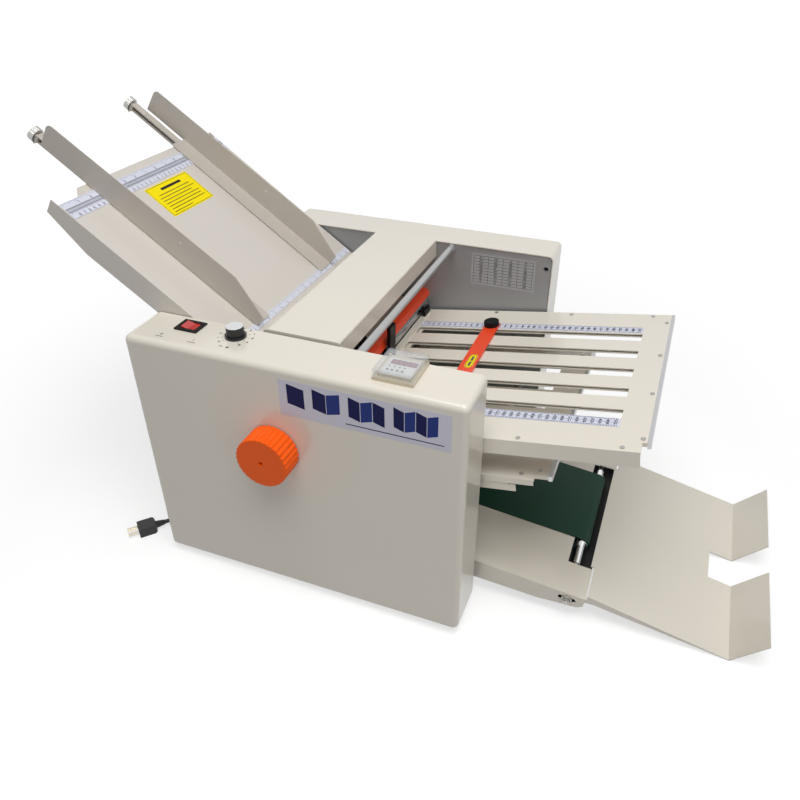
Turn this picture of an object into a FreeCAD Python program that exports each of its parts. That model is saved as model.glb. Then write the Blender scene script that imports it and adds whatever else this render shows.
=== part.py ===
import FreeCAD, Part
import math
import os

# Desk paper folding machine. Paper runs along +X from the sloping feed tray on the left,
# through the fold rollers between the two side plates, to the conveyor on the right.
# X starts at the left end of the covers, Y at the outer face of the front cover and
# Z at the floor. All lengths are in millimetres, all angles in degrees.

Vec = FreeCAD.Vector
AXIS_X = Vec(1, 0, 0)
AXIS_Y = Vec(0, 1, 0)
AXIS_Z = Vec(0, 0, 1)

# Gaps between pieces
seat_gap = 0.3
fit_gap = 0.02
running_gap = 0.05
overrun = 5.0

# Covers and side plates
foot_height = 12.0
foot_radius = 12.5
foot_inset = 40.0
foot_hole_radius = 2.5
cover_length = 500.0
cover_height = 397.0
cover_wall = 1.5
cover_edge_radius = 9.0
front_cover_depth = 78.0
rear_cover_depth = 78.7
throat_width = 400.8
plate_thickness = 5.0
plate_recess = 2.0
plate_margin = 1.0
plate_hole_radius = 4.0
plate_hole_from_end = 11.1
plate_hole_height = 372.5
base_thickness = 2.0
base_flange = 12.0
base_end_margin = 9.5

# Tie rods: one bright rod beside the hood, three plain ones lower down
tie_radius = 5.8
tie_x = 321.0
tie_height = 388.0
tie_nut_radius = 7.2
tie_nut_length = 9.0
low_tie_radius = 6.0
low_tie_place_shares = [(0.09, 0.09), (0.93, 0.35)]
separator_rod_x = 205.0
separator_rod_height = 335.0

# Hood over the rollers
hood_left = 173.0
hood_length = 120.0
hood_top = 400.0
hood_wall = 1.5
hood_front_gap = 4.0
hood_rear_gap = 0.5
hood_right_depth = 31.0
hood_left_depth = 44.0
hood_edge_radius = 3.0
hood_left_radius = 12.0
hood_pivot_inset = 12.0
hood_pin_radius = 3.0

# Feed tray, in its own frame: s runs down the slope, h stands square to it
tray_slope_deg = 35.0
tray_height_at_left = 440.3
tray_sheet = 1.5
tray_side_gap = 1.4
tray_width = throat_width - 2 * tray_side_gap
tray_upper_end = 168.0
tray_tab_reach = 14.0
tray_tab_inset = 54.0
tray_lower_end = 294.0
tray_flange_start = 181.0
tray_flange_start_depth = 23.0
tray_flange_kink = 103.0
tray_flange_depth = 38.7
tray_flange_taper_end = 250.0
tray_flange_end_depth = 14.0
wheel_slot_play = 4.0

# Scale strips
scale_thickness = 0.8
tray_scale_start = 168.0
tray_scale_width = 30.0
tray_groove_start = 13.0
tray_groove_width = 5.0
tray_groove_depth = 0.4
lower_scale_start = 140.0
lower_scale_width = 11.0

# Side guides of the feed tray
guide_sheet = 1.5
guide_half_gap = 124.5
guide_upper_reach = 267.0
guide_lower_reach = 145.0
guide_upper_height = 42.0
guide_kink = 79.0
guide_kink_height = 47.0
guide_tip = 147.0
guide_tip_height = 20.0
guide_corner_radius = 8.0
guide_foot_width = 35.0
guide_foot_upper_end = 186.0
guide_hole_place = 17.0
guide_hole_height = 30.0
guide_hole_radius = 1.8
rail_reach = 286.0
rail_width = 14.0
rail_height = 7.5
rail_tooth = 8.0
rail_wall = 1.2
rail_inset = 8.0
rail_block_length = 6.0
screw_rod_radius = 2.2
screw_head_radius = 11.5
screw_head_length = 9.0
screw_head_ribs = 24
screw_head_rib_depth = 0.4

# Studs on the side plates; the side flanges of what they carry hang on them
stud_radius = 4.0
stud_tip = 3.0
tray_stud_first = 95.0
tray_stud_pitch = 120.0
tray_stud_drop = 9.0
upper_stud_first = -190.0
upper_stud_pitch = 130.0
upper_stud_drop = 16.0
lower_stud_first = -160.0
lower_stud_pitch = 120.0
lower_stud_drop = 16.0
left_stud_first = -170.0
left_stud_pitch = 130.0
left_stud_drop = 10.0
conveyor_stud_first = -250.0
conveyor_stud_pitch = 210.0
conveyor_stud_drop = 20.0

# Fold rollers and their gears
knob_x = 225.5
knob_height = 264.0
roller_radius = 18.0
roller_gap = 0.3
roller_end_gap = 0.5
journal_radius = 6.0
gear_module = 1.5
roller_teeth = 24
feed_teeth = 27
gear_width = 10.0
gear_from_plate = 6.0
gear_backlash = 0.30
gear_mesh_gap = 0.3
pressure_deg = 20.0
flank_steps = 3
first_roller_lift_deg = 17.35
paper_path_deg = 8.8
stagger_deg = 36.9
delivery_nip_deg = 10.0
bearing_outer_radius = 14.0
bearing_width = 7.0
journal_front_stub = 3.0
journal_rear_stub = 4.0

# Feed shaft, wheel, separator and hand knob
feed_wheel_width = 47.0
knob_radius = 38.5
knob_skirt_gap = 2.0
knob_thickness = 36.6
knob_flutes = 30
knob_flute_depth = 1.6
knob_rim_radius = 4.0
knob_socket_depth = 28.0
knob_centre_hole_radius = 3.0
knob_hole_play = 2.0
flute_steps = 6
separator_pad_width = 33.0
separator_pad_length = 16.0
separator_pad_back = 8.0
separator_pad_thickness = 6.0
separator_arm_width = 21.0
separator_arm_thickness = 6.0
separator_collar_radius = 12.0
separator_gap = 0.4

# Motor and drive
motor_x = 108.0
motor_height = 78.0
motor_radius = 42.0
motor_length = 105.0
motor_flange_radius = 52.0
motor_flange_thickness = 6.0
motor_shaft_radius = 5.0
motor_shaft_play = 3.0
motor_pulley_radius = 15.0
driven_pulley_radius = 35.0
pulley_width = 14.0
pulley_from_plate = 20.0
pulley_flange = 2.5
pulley_flange_width = 1.5
belt_thickness = 2.0
belt_side_gap = 0.8
cord_pulley_radius = 12.0
cord_pulley_width = 8.0
cord_pulley_from_plate = 5.0

# Fold plates: two sheets with a gap for the paper; s runs up to the right, h square to it
fold_tilt_deg = 8.8
fold_sheet = 1.5
fold_gap = 3.0
fold_spacer_width = 11.0
upper_over_shaft = 33.0
upper_ref_height = knob_height + upper_over_shaft
upper_side_gap = 3.9
upper_width = throat_width - 2 * upper_side_gap
upper_mouth = 222.0
upper_flange_start = 214.0
upper_end = 205.0
upper_flange_depth = 23.5
upper_flange_corner = 5.0
upper_notch = 6.0
upper_notch_width = 22.0
slot_count = 5
slot_pitch = 56.1
slot_width = 23.0
slot_start = 211.0
slot_end = 167.0
bottom_slot_start = 205.0
mouth_bar_width = 10.0
mouth_bar_height = 4.0
mouth_bar_inset = 14.0
end_bar_width = 5.0
end_bar_depth = 9.0
rear_scale_width = 19.0
rear_scale_centre = 136.0
front_scale_width = 20.0
front_scale_centre = 134.4
screw_head_radius_small = 3.2
screw_head_height = 1.2
screw_stem_radius = 1.5
side_screw_inset = 7.5
side_screw_pitch = 132.5
side_screw_first = 176.6
end_screw_inset = 5.5
end_screw_pitch = 111.0

# Lower right fold plate
lower_ref_from_end = 3.4
lower_ref_x = cover_length - lower_ref_from_end
lower_under_shaft = 33.6
lower_ref_height = knob_height - lower_under_shaft
lower_side_gap = 9.0
lower_width = throat_width - 2 * lower_side_gap
lower_mouth = 226.0
lower_flange_start = 218.0
lower_end = 92.5
lower_step = 74.0
lower_step_width = 11.2
lower_slot_mouth = 48.6
lower_window_start = 200.0
lower_window_end = 52.0
lower_slot_depth = 10.0
lower_slot_height = 2.7
lower_screw_inset = 18.0
lower_flange_depth = 24.0
lower_bar_width = 5.5
lower_bar_depth = 8.0

# Left fold plates under the feed tray, each with a slotted pair of sheets and a stop
left_tilt_deg = 15.0
left_side_gap = 8.4
left_width = throat_width - 2 * left_side_gap
left_length = 205.0
left_mouth_reach = 25.0
left_flange_depth = 16.0
left_stop_place = 150.0
left_stop_thickness = 2.0

# Stop bar on the upper fold plate, with a clamp knob at each end
stop_place = 93.0
stop_width = 25.0
stop_thickness = 3.0
stop_half_length = 140.0
stop_finger_thickness = 1.5
stop_finger_width = 14.0
clamp_knob_radius = 12.8
clamp_knob_height = 8.5
clamp_knob_flutes = 16
clamp_flute_depth = 0.9
clamp_knob_offset = 130.0
clamp_stem_radius = 3.0
clamp_knob_from_edge = 12.5

# Roller guard and the black latches at the mouth of the upper plate
guard_left_x = 263.0
guard_left_over_shaft = 42.0
guard_right_x = 277.0
guard_right_over_shaft = 36.5
guard_lip_x = 281.0
guard_lip_over_shaft = 27.0
guard_thickness = 1.5
latch_width = 22.0
latch_block_length = 26.0
latch_block_height = 12.0
latch_rise = 31.0
latch_thickness = 6.0
latch_foot_from_end = 209.5
latch_foot_x = cover_length - latch_foot_from_end
latch_lean = 2.9
latch_top_x = latch_foot_x - latch_lean

# Delivery conveyor, in its own frame: s down to the right from x = conveyor_ref_x
conveyor_ref_from_end = 2.0
conveyor_ref_x = cover_length - conveyor_ref_from_end
conveyor_ref_height = 52.0
conveyor_slope_deg = 6.45
conveyor_side_gap = 19.4
conveyor_width = throat_width - 2 * conveyor_side_gap
conveyor_sheet = 1.5
conveyor_left = 334.0
conveyor_right = 169.0
conveyor_side_depth = 34.5
conveyor_mid = 101.0
conveyor_mid_depth = 30.3
conveyor_end_corner = 161.0
conveyor_end_depth = 21.4
conveyor_end_round = 6.0
conveyor_notch_start = 131.0
conveyor_notch_front = 116.4
conveyor_notch_rear = 143.6
belt_front = 60.4
belt_rear = 113.6
conveyor_belt_thickness = 1.5
conveyor_belt_lift = 0.3
belt_roller_radius = 11.2
end_roller_place = 143.5
drive_roller_place = 300.0
roller_window = 20.0
roller_window_side = 14.0
roller_belt_margin = 4.0
end_neck_radius = 7.0
end_neck_front = 108.0
end_neck_rear = 136.0
axle_radius = 4.0
axle_slot_length = 27.0
axle_slot_width = 8.4
washer_radius = 8.0
washer_thickness = 1.6
nut_radius = 6.5
nut_thickness = 5.0
axle_tip = 2.0

# Receiving tray, hung on two stub pins of the conveyor frame
tray2_start_x = 668.3
tray2_start_height = 36.6
tray2_tongue_x = 663.0
tray2_bend_x = 874.0
tray2_flap_deg = 48.0
tray2_flap_length = 65.0
tray2_side_gap = 4.0
tray2_width = conveyor_width - 2 * tray2_side_gap
tray2_sheet = 1.5
tray2_notch_x = 838.0
tray2_notch_width = 59.0
tray2_side_depth = 12.0
tray2_pivot_x = 660.0
tray2_pivot_height = 27.0
tray2_ear_radius = 4.2
tray2_pin_radius = 2.0
tray2_pin_length = 6.0
tray2_tongue_side_gap = 1.5

# Switch, speed dial and counter on top of the front cover
switch_x = 76.0
switch_y = 54.0
switch_length = 36.0
switch_width = 29.0
switch_bezel_height = 2.5
switch_opening_length = 25.0
switch_opening_width = 19.0
switch_body_wall = 1.6
switch_body_depth = 20.0
rocker_gap = 0.4
rocker_rest_deg = 8.0
rocker_pivot_drop = 3.0
rocker_top_half = 10.6
rocker_top_height = 5.9
rocker_dip = 1.3
rocker_bottom_half = 9.0
rocker_bottom_depth = 5.5
rocker_pin_radius = 1.2
rocker_pin_length = 1.2
dial_x = 150.0
dial_y = 52.5
dial_skirt_radius = 15.0
dial_skirt_height = 3.0
dial_radius = 12.2
dial_height = 16.5
dial_flutes = 24
dial_flute_depth = 0.7
dial_cap_radius = 9.0
dial_cap_height = 0.6
dial_shaft_radius = 3.0
pot_radius = 12.0
pot_depth = 10.0
dial_shaft_depth = 6.0
counter_left = 368.0
counter_front = 17.0
counter_length = 55.0
counter_width = 59.0
counter_base_height = 5.0
counter_body_inset = 5.0
counter_body_depth = 40.0
counter_face_inset = 5.5
counter_face_height = 3.5
counter_height = 15.0
counter_lid_inset = 0.5
counter_lid_wall = 1.5
counter_hinge_radius = 2.2
counter_hinge_from_rear = 1.0
counter_hinge_pin_radius = 1.1
counter_ear_thickness = 2.0
counter_ear_rise = 1.6
counter_lid_rear_lift = 1.5

# Control board inside the front cover
board_left = 60.0
board_length = 130.0
board_height = 95.0
board_low = 90.0
board_thickness = 1.6
board_from_plate = 10.0
board_standoff_radius = 3.5
board_standoff_inset = 8.0
chip_length = 34.0
chip_height = 22.0
chip_depth = 12.0
chip_count = 3

# Mains cord; its points are chosen by hand and lie on the floor where they can
cord_radius = 3.5
gland_y = 518.0
gland_height = 60.0
gland_nut_radius = 10.0
gland_nut_length = 6.0
gland_neck_radius = 6.2
gland_tip_radius = 4.4
gland_length = 32.0
gland_inner_length = 8.0
coil_centre_x = -118.0
coil_centre_y = 292.0
coil_mean_radius = 38.5
coil_turns = 5
coil_pitch = 7.6
coil_floor_gap = 0.1
coil_end_length = 7.0
coil_gap_steps = 48
arc_share = 0.45
lead_in_points = [(-52, 518, 72), (-74, 512, 62), (-88, 494, 44), (-92, 466, 24), (-88, 432, 9),
                  (-80, 394, 3.6), (-70, 340, 3.6)]
lead_out_points = [(-70, 263, 11.2), (-67, 236, 7.5), (-56, 203, 3.6), (-36, 168, 3.6), (-22, 134, 3.6),
                   (-18, 104, 4), (-22, 79, 6.5), (-32.7, 57, 9)]
plug_rear_x = -46.0
plug_rear_y = 42.0
plug_turn_deg = 228.5
plug_relief_length = 15.0
plug_relief_rear_radius = 4.2
plug_relief_front_radius = 6.5
plug_body_length = 30.0
plug_body_width = 24.0
plug_body_height = 18.0
plug_body_round = 5.0
pin_length = 17.5
pin_root = 4.0
blade_width = 6.3
blade_thickness = 1.5
blade_spacing = 12.7
earth_pin_radius = 2.4
earth_pin_drop = 6.0
blade_rise = 1.5

# Places worked out from the sizes above
low = foot_height
cover_top = low + cover_height
front_rim = front_cover_depth
rear_rim = front_cover_depth + throat_width
mid_y = front_cover_depth + throat_width / 2
front_plate_face = front_rim - plate_recess
rear_plate_face = rear_rim + plate_recess
rear_face = rear_rim + rear_cover_depth


def box(x0, x1, y0, y1, z0, z1):
    """Box between two corners."""
    return Part.makeBox(x1 - x0, y1 - y0, z1 - z0, Vec(x0, y0, z0))


def rod_y(x, z, radius, y0, y1):
    """Round rod along Y."""
    return Part.makeCylinder(radius, y1 - y0, Vec(x, y0, z), AXIS_Y)


def rod_z(x, y, radius, z0, z1):
    """Round rod along Z."""
    return Part.makeCylinder(radius, z1 - z0, Vec(x, y, z0), AXIS_Z)


def rod_x(y, z, radius, x0, x1):
    """Round rod along X."""
    return Part.makeCylinder(radius, x1 - x0, Vec(x0, y, z), AXIS_X)


def prism_y(outline, y0, y1):
    """Side outline of (x, z) points carried along Y."""
    points = [Vec(x, y0, z) for x, z in outline]
    face = Part.Face(Part.makePolygon(points + points[:1]))
    return face.extrude(Vec(0, y1 - y0, 0))


def prism_z(outline, z0, z1):
    """Plan outline of (x, y) points carried along Z."""
    points = [Vec(x, y, z0) for x, y in outline]
    face = Part.Face(Part.makePolygon(points + points[:1]))
    return face.extrude(Vec(0, 0, z1 - z0))


def join(shapes):
    """One solid from touching solids."""
    return shapes[0].fuse(shapes[1:]).removeSplitter()


def cut(shape, tools):
    """Shape with all tools taken away."""
    return shape.cut(Part.makeCompound(tools))


def group(shapes):
    """Separate solids kept together in one node."""
    return Part.makeCompound(shapes)


def fillet_where(shape, radius, wanted):
    """Round the edges whose end points satisfy the test."""
    edges = [edge for edge in shape.Edges if all(wanted(vertex.Point) for vertex in edge.Vertexes)]
    return shape.makeFillet(radius, edges)


def tilt(shape, degrees, x, z):
    """Turn a piece drawn level about Y, its +X end going down, and set its origin at (x, z)."""
    turned = shape.copy()
    turned.rotate(Vec(0, 0, 0), AXIS_Y, degrees)
    turned.translate(Vec(x, 0, z))
    return turned


def tilted_point(s, h, degrees, x, z):
    """Place in (x, z) of a point (s, h) of a tilted frame."""
    angle = math.radians(degrees)
    along = s * math.cos(angle) + h * math.sin(angle)
    up = -s * math.sin(angle) + h * math.cos(angle)
    return x + along, z + up


def near(value, target):
    """True where two places are the same within the seat gap."""
    return abs(value - target) < seat_gap


# Fold rollers: each centre is worked out from the one before
def roller_centres():
    """Feed shaft centre and the six roller centres as (x, z)."""
    feed = (knob_x, low + knob_height)
    reach = gear_module * (feed_teeth + roller_teeth) / 2 + gear_mesh_gap
    lift = math.radians(first_roller_lift_deg)
    step = 2 * roller_radius + roller_gap
    square = math.radians(paper_path_deg)
    slant = math.radians(paper_path_deg - stagger_deg)
    exit_turn = math.radians(delivery_nip_deg)
    down = (math.sin(square), -math.cos(square))
    back = (math.sin(slant), -math.cos(slant))
    last = (-math.sin(exit_turn), -math.cos(exit_turn))
    centres = [(feed[0] + reach * math.cos(lift), feed[1] + reach * math.sin(lift))]
    for way in (down, back, down, back, last):
        x, z = centres[-1]
        centres.append((x + step * way[0], z + step * way[1]))
    return feed, centres


feed_centre, fold_centres = roller_centres()


def gear_outline(teeth, phase):
    """Involute gear outline about the origin; phase is the direction of one tooth."""
    pitch_radius = gear_module * teeth / 2
    pressure = math.radians(pressure_deg)
    base_radius = pitch_radius * math.cos(pressure)
    tip_radius = pitch_radius + gear_module
    root_radius = pitch_radius - gear_module * 1.25
    start_radius = max(base_radius, root_radius)
    half_at_pitch = math.pi / (2 * teeth) - gear_backlash / (2 * pitch_radius)
    involute_at_pitch = math.tan(pressure) - pressure
    flank = []
    for step in range(flank_steps + 1):
        radius = start_radius + (tip_radius - start_radius) * step / flank_steps
        turn = math.acos(min(base_radius / radius, 1))
        half = half_at_pitch + involute_at_pitch - (math.tan(turn) - turn)
        flank.append((radius, half))
    points = []
    for tooth in range(teeth):
        centre = phase + 2 * math.pi * tooth / teeth
        side = [(root_radius, flank[0][1])] + flank
        for radius, half in side:
            points.append((radius * math.cos(centre - half), radius * math.sin(centre - half)))
        for radius, half in reversed(side):
            points.append((radius * math.cos(centre + half), radius * math.sin(centre + half)))
    return points


def gear(teeth, centre, phase, y0, bore):
    """Spur gear on an axis along Y."""
    outline = [(centre[0] + x, centre[1] + z) for x, z in gear_outline(teeth, phase)]
    blank = prism_y(outline, y0, y0 + gear_width)
    return cut(blank, [rod_y(centre[0], centre[1], bore, y0 - overrun, y0 + gear_width + overrun)])


def meshing_phase(centre, teeth, phase, next_centre, next_teeth):
    """Phase that puts a gap of the next gear where this gear has its tooth."""
    line = math.atan2(next_centre[1] - centre[1], next_centre[0] - centre[0])
    lead = (phase - line) * teeth / next_teeth
    return line + math.pi - lead + math.pi / next_teeth


def gear_phases():
    """Phase of each roller gear, all in mesh."""
    phases = [math.atan2(feed_centre[1] - fold_centres[0][1], feed_centre[0] - fold_centres[0][0])]
    for here, there in zip(fold_centres, fold_centres[1:]):
        phases.append(meshing_phase(here, roller_teeth, phases[-1], there, roller_teeth))
    return phases


gear_y = front_plate_face - plate_thickness - gear_from_plate - gear_width
journal_front = gear_y - journal_front_stub
journal_rear = rear_plate_face + bearing_width + journal_rear_stub
pulley_y = rear_plate_face + plate_thickness + pulley_from_plate
cord_pulley_y = rear_plate_face + plate_thickness + cord_pulley_from_plate


def pulley(centre, radius, width, y0, bore):
    """Belt pulley with a low flange each side."""
    flange = radius + pulley_flange
    body = rod_y(centre[0], centre[1], radius, y0, y0 + width)
    near_side = rod_y(centre[0], centre[1], flange, y0, y0 + pulley_flange_width)
    far_side = rod_y(centre[0], centre[1], flange, y0 + width - pulley_flange_width, y0 + width)
    shape = join([body, near_side, far_side])
    if bore == 0:
        return shape
    return cut(shape, [rod_y(centre[0], centre[1], bore, y0 - overrun, y0 + width + overrun)])


def fold_roller(index):
    """Steel roller with its journals, its gear, and the pulley that the last one carries."""
    x, z = fold_centres[index]
    front = front_plate_face + roller_end_gap
    rear = rear_plate_face - roller_end_gap
    last = journal_rear
    if index == 3:
        last = pulley_y + pulley_width + fit_gap
    if index == 5:
        last = cord_pulley_y + cord_pulley_width + fit_gap
    body = join([rod_y(x, z, roller_radius, front, rear), rod_y(x, z, journal_radius, journal_front, last)])
    phase = gear_phases()[index]
    pieces = [body, gear(roller_teeth, (x, z), phase, gear_y, journal_radius + fit_gap)]
    if index == 5:
        pieces.append(pulley((x, z), cord_pulley_radius, cord_pulley_width, cord_pulley_y,
                             journal_radius + fit_gap))
    return group(pieces)


def feed_gear():
    """Gear on the feed shaft, in mesh with the first roller's gear."""
    phase = meshing_phase(fold_centres[0], roller_teeth, gear_phases()[0], feed_centre, feed_teeth)
    return gear(feed_teeth, feed_centre, phase, gear_y, journal_radius + fit_gap)


def feed_shaft():
    """Feed shaft, from inside the hand knob to the rear bearing."""
    return rod_y(feed_centre[0], feed_centre[1], journal_radius,
                 -knob_skirt_gap - knob_socket_depth, journal_rear)


def feed_wheel():
    """Rubber feed wheel on the feed shaft."""
    x, z = feed_centre
    y0 = mid_y - feed_wheel_width / 2
    y1 = mid_y + feed_wheel_width / 2
    rubber = rod_y(x, z, roller_radius, y0, y1)
    return cut(rubber, [rod_y(x, z, journal_radius + fit_gap, y0 - overrun, y1 + overrun)])


def fluted_outline(radius, flutes, depth, steps):
    """Round outline with shallow flutes, as points about the origin."""
    points = []
    count = flutes * steps
    for index in range(count):
        turn = 2 * math.pi * index / count
        wave = (1 - math.cos(flutes * turn)) / 2
        reach = radius - depth * wave ** 2
        points.append((reach * math.cos(turn), reach * math.sin(turn)))
    return points


def hand_knob():
    """Fluted hand knob with a flat face, a rounded rim and a small hole at its middle."""
    x, z = feed_centre
    outer = -knob_skirt_gap - knob_thickness
    outline = fluted_outline(knob_radius, knob_flutes, knob_flute_depth, flute_steps)
    body = prism_y([(x + px, z + pz) for px, pz in outline], outer, -knob_skirt_gap)
    round_body = rod_y(x, z, knob_radius + knob_flute_depth, outer, -knob_skirt_gap)
    round_body = fillet_where(round_body, knob_rim_radius, lambda point: near(point.y, outer))
    socket = rod_y(x, z, journal_radius + fit_gap, -knob_skirt_gap - knob_socket_depth - fit_gap, overrun)
    hole = rod_y(x, z, knob_centre_hole_radius, outer - overrun, 0)
    return cut(body.common(round_body), [socket, hole])


def shaft_bearings():
    """Ball bearings of the feed shaft, the fold rollers and the conveyor's drive roller."""
    centres = [feed_centre] + fold_centres + [drive_roller_centre()]
    pieces = []
    for x, z in centres:
        for y0 in (front_plate_face - bearing_width, rear_plate_face):
            ring = rod_y(x, z, bearing_outer_radius, y0, y0 + bearing_width)
            bore = rod_y(x, z, journal_radius + running_gap, y0 - overrun, y0 + bearing_width + overrun)
            pieces.append(ring.cut(bore))
    return group(pieces)


# Covers, side plates and base
def cover_shell(rim_y, face_y):
    """Box cover, open towards the rim, rounded at its outer face and its long corners."""
    y0 = min(rim_y, face_y)
    y1 = max(rim_y, face_y)
    inward = 1 if rim_y > face_y else -1
    outer = box(0, cover_length, y0, y1, low, cover_top)
    outer = fillet_edges_off(outer, cover_edge_radius, rim_y)
    inner_face = face_y + inward * cover_wall
    open_end = rim_y + inward * overrun
    inner = box(cover_wall, cover_length - cover_wall, min(inner_face, open_end), max(inner_face, open_end),
                low + cover_wall, cover_top - cover_wall)
    inner = fillet_edges_off(inner, cover_edge_radius - cover_wall, open_end)
    return outer.cut(inner)


def fillet_edges_off(shape, radius, plane_y):
    """Round every edge that doesn't lie in the plane y = plane_y."""
    edges = [edge for edge in shape.Edges
             if not all(near(vertex.Point.y, plane_y) for vertex in edge.Vertexes)]
    return shape.makeFillet(radius, edges)


def foot_places(depth, rim_y, outward):
    """Foot centres under one cover."""
    y = rim_y + outward * depth / 2
    return [(foot_inset, y), (cover_length - foot_inset, y)]


def all_feet():
    """Foot centres under both covers."""
    front = foot_places(front_cover_depth, front_rim, -1)
    rear = foot_places(rear_cover_depth, rear_rim, 1)
    return front + rear


def foot_holes():
    """Holes for the stems of the feet."""
    return [rod_z(x, y, foot_hole_radius, low - overrun, low + cover_wall + overrun)
            for x, y in all_feet()]


def front_cover():
    """Front cover with openings for the knob shaft, switch, dial and counter."""
    shell = cover_shell(front_rim, 0)
    x, z = feed_centre
    shaft_hole = rod_y(x, z, journal_radius + knob_hole_play, -overrun, cover_wall + overrun)
    top = cover_top - cover_wall - overrun
    over = cover_top + overrun
    switch_hole = box(switch_x - switch_body_half(switch_opening_length),
                      switch_x + switch_body_half(switch_opening_length),
                      switch_y - switch_body_half(switch_opening_width),
                      switch_y + switch_body_half(switch_opening_width), top, over)
    dial_hole = rod_z(dial_x, dial_y, dial_shaft_radius + fit_gap, top, over)
    counter_hole = box(counter_left + counter_body_inset - fit_gap,
                       counter_left + counter_length - counter_body_inset + fit_gap,
                       counter_front + counter_body_inset - fit_gap,
                       counter_front + counter_width - 2 * counter_body_inset + fit_gap, top, over)
    return cut(shell, [shaft_hole, switch_hole, dial_hole, counter_hole] + foot_holes())


def switch_body_half(opening):
    """Half width of the switch body in the cover, round its opening."""
    return opening / 2 + switch_body_wall + fit_gap


def rear_cover():
    """Rear cover with the hole for the cord gland in its left end."""
    shell = cover_shell(rear_rim, rear_face)
    gland_hole = rod_x(gland_y, low + gland_height, gland_neck_radius + fit_gap,
                       -overrun, cover_wall + overrun)
    hole = sight_hole(rear_face - cover_wall, rear_face)
    return cut(shell, [gland_hole, hole] + foot_holes())


def plate_blank(y0):
    """Side plate with rounded corners, without its holes."""
    margin = cover_wall + plate_margin
    blank = box(margin, cover_length - margin, y0, y0 + plate_thickness,
                low + cover_wall, cover_top - margin)
    corners = [edge for edge in blank.Edges if near(edge.Vertexes[0].Point.x, edge.Vertexes[1].Point.x)
               and near(edge.Vertexes[0].Point.z, edge.Vertexes[1].Point.z)]
    return blank.makeFillet(cover_edge_radius, corners)


def plate_bores(y0):
    """Bearing seats and hood pivot hole that both side plates have."""
    y1 = y0 + plate_thickness + overrun
    y0 = y0 - overrun
    centres = [feed_centre] + fold_centres + [drive_roller_centre()]
    bores = [rod_y(x, z, bearing_outer_radius + fit_gap, y0, y1) for x, z in centres]
    pivot_x, pivot_z = hood_pivot()
    bores.append(rod_y(pivot_x, pivot_z, hood_pin_radius + running_gap, y0, y1))
    return bores


def sight_hole(y0, y1):
    """Through hole near the upper right corner of the rear plate and cover."""
    return rod_y(cover_length - plate_hole_from_end, low + plate_hole_height, plate_hole_radius,
                 y0 - overrun, y1 + overrun)


def left_mouths():
    """Mouths of the two left plates, each a little way out from its pair of rollers."""
    thickness = 2 * fold_sheet + fold_gap
    mouths = []
    for upper, lower in ((fold_centres[1], fold_centres[2]), (fold_centres[3], fold_centres[4])):
        nip_x = (upper[0] + lower[0]) / 2
        nip_z = (upper[1] + lower[1]) / 2
        turn = math.atan2(upper[0] - lower[0], upper[1] - lower[1])
        mouths.append((nip_x - left_mouth_reach * math.cos(turn),
                       nip_z + left_mouth_reach * math.sin(turn) + thickness / 2))
    return mouths


def stud_rows():
    """Rows of studs: first place, pitch, drop, slope, frame origin and half width to reach."""
    rows = [(tray_stud_first, tray_stud_pitch, tray_stud_drop, tray_slope_deg,
             0, low + tray_height_at_left, tray_width / 2),
            (upper_stud_first, upper_stud_pitch, upper_stud_drop, -fold_tilt_deg,
             cover_length, low + upper_ref_height, upper_width / 2),
            (lower_stud_first, lower_stud_pitch, lower_stud_drop, -fold_tilt_deg,
             lower_ref_x, low + lower_ref_height, lower_width / 2),
            (conveyor_stud_first, conveyor_stud_pitch, conveyor_stud_drop, conveyor_slope_deg,
             conveyor_ref_x, low + conveyor_ref_height, conveyor_width / 2)]
    for x, z in left_mouths():
        rows.append((left_stud_first, left_stud_pitch, left_stud_drop, left_tilt_deg, x, z, left_width / 2))
    return rows


def stud_places():
    """Studs that carry the tray, the fold plates and the conveyor: x, z, half width to reach."""
    places = []
    for first, pitch, drop, degrees, x0, z0, reach in stud_rows():
        for s in (first, first + pitch):
            x, z = tilted_point(s, -drop, degrees, x0, z0)
            places.append((x, z, reach))
    return places


def stud_holes(half_width, radius_play):
    """Clearance cylinders for the studs that reach one pair of side flanges."""
    return [rod_y(x, z, stud_radius + radius_play, front_plate_face, rear_plate_face)
            for x, z, reach in stud_places() if reach == half_width]


def front_side_plate():
    """Front side plate with its bearing seats and the studs on its inner face."""
    y0 = front_plate_face - plate_thickness
    blank = plate_blank(y0)
    studs = [rod_y(x, z, stud_radius, front_plate_face, mid_y - reach + stud_tip)
             for x, z, reach in stud_places()]
    return cut(join([blank] + studs), plate_bores(y0))


def rear_side_plate():
    """Rear side plate; it also carries the motor."""
    y0 = rear_plate_face
    blank = plate_blank(y0)
    studs = [rod_y(x, z, stud_radius, mid_y + reach - stud_tip, rear_plate_face)
             for x, z, reach in stud_places()]
    motor_hole = rod_y(motor_x, low + motor_height, motor_shaft_radius + motor_shaft_play,
                       y0 - overrun, y0 + plate_thickness + overrun)
    hole = sight_hole(y0, y0 + plate_thickness)
    return cut(join([blank] + studs), plate_bores(y0) + [motor_hole, hole])


def base_plate():
    """Bottom pan between the side plates, with its ends turned up."""
    x0 = base_end_margin
    x1 = cover_length - base_end_margin
    z0 = low + cover_wall
    pan = box(x0, x1, front_plate_face, rear_plate_face, z0, z0 + base_thickness)
    left = box(x0, x0 + base_thickness, front_plate_face, rear_plate_face, z0, z0 + base_flange)
    right = box(x1 - base_thickness, x1, front_plate_face, rear_plate_face, z0, z0 + base_flange)
    return join([pan, left, right])


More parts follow.
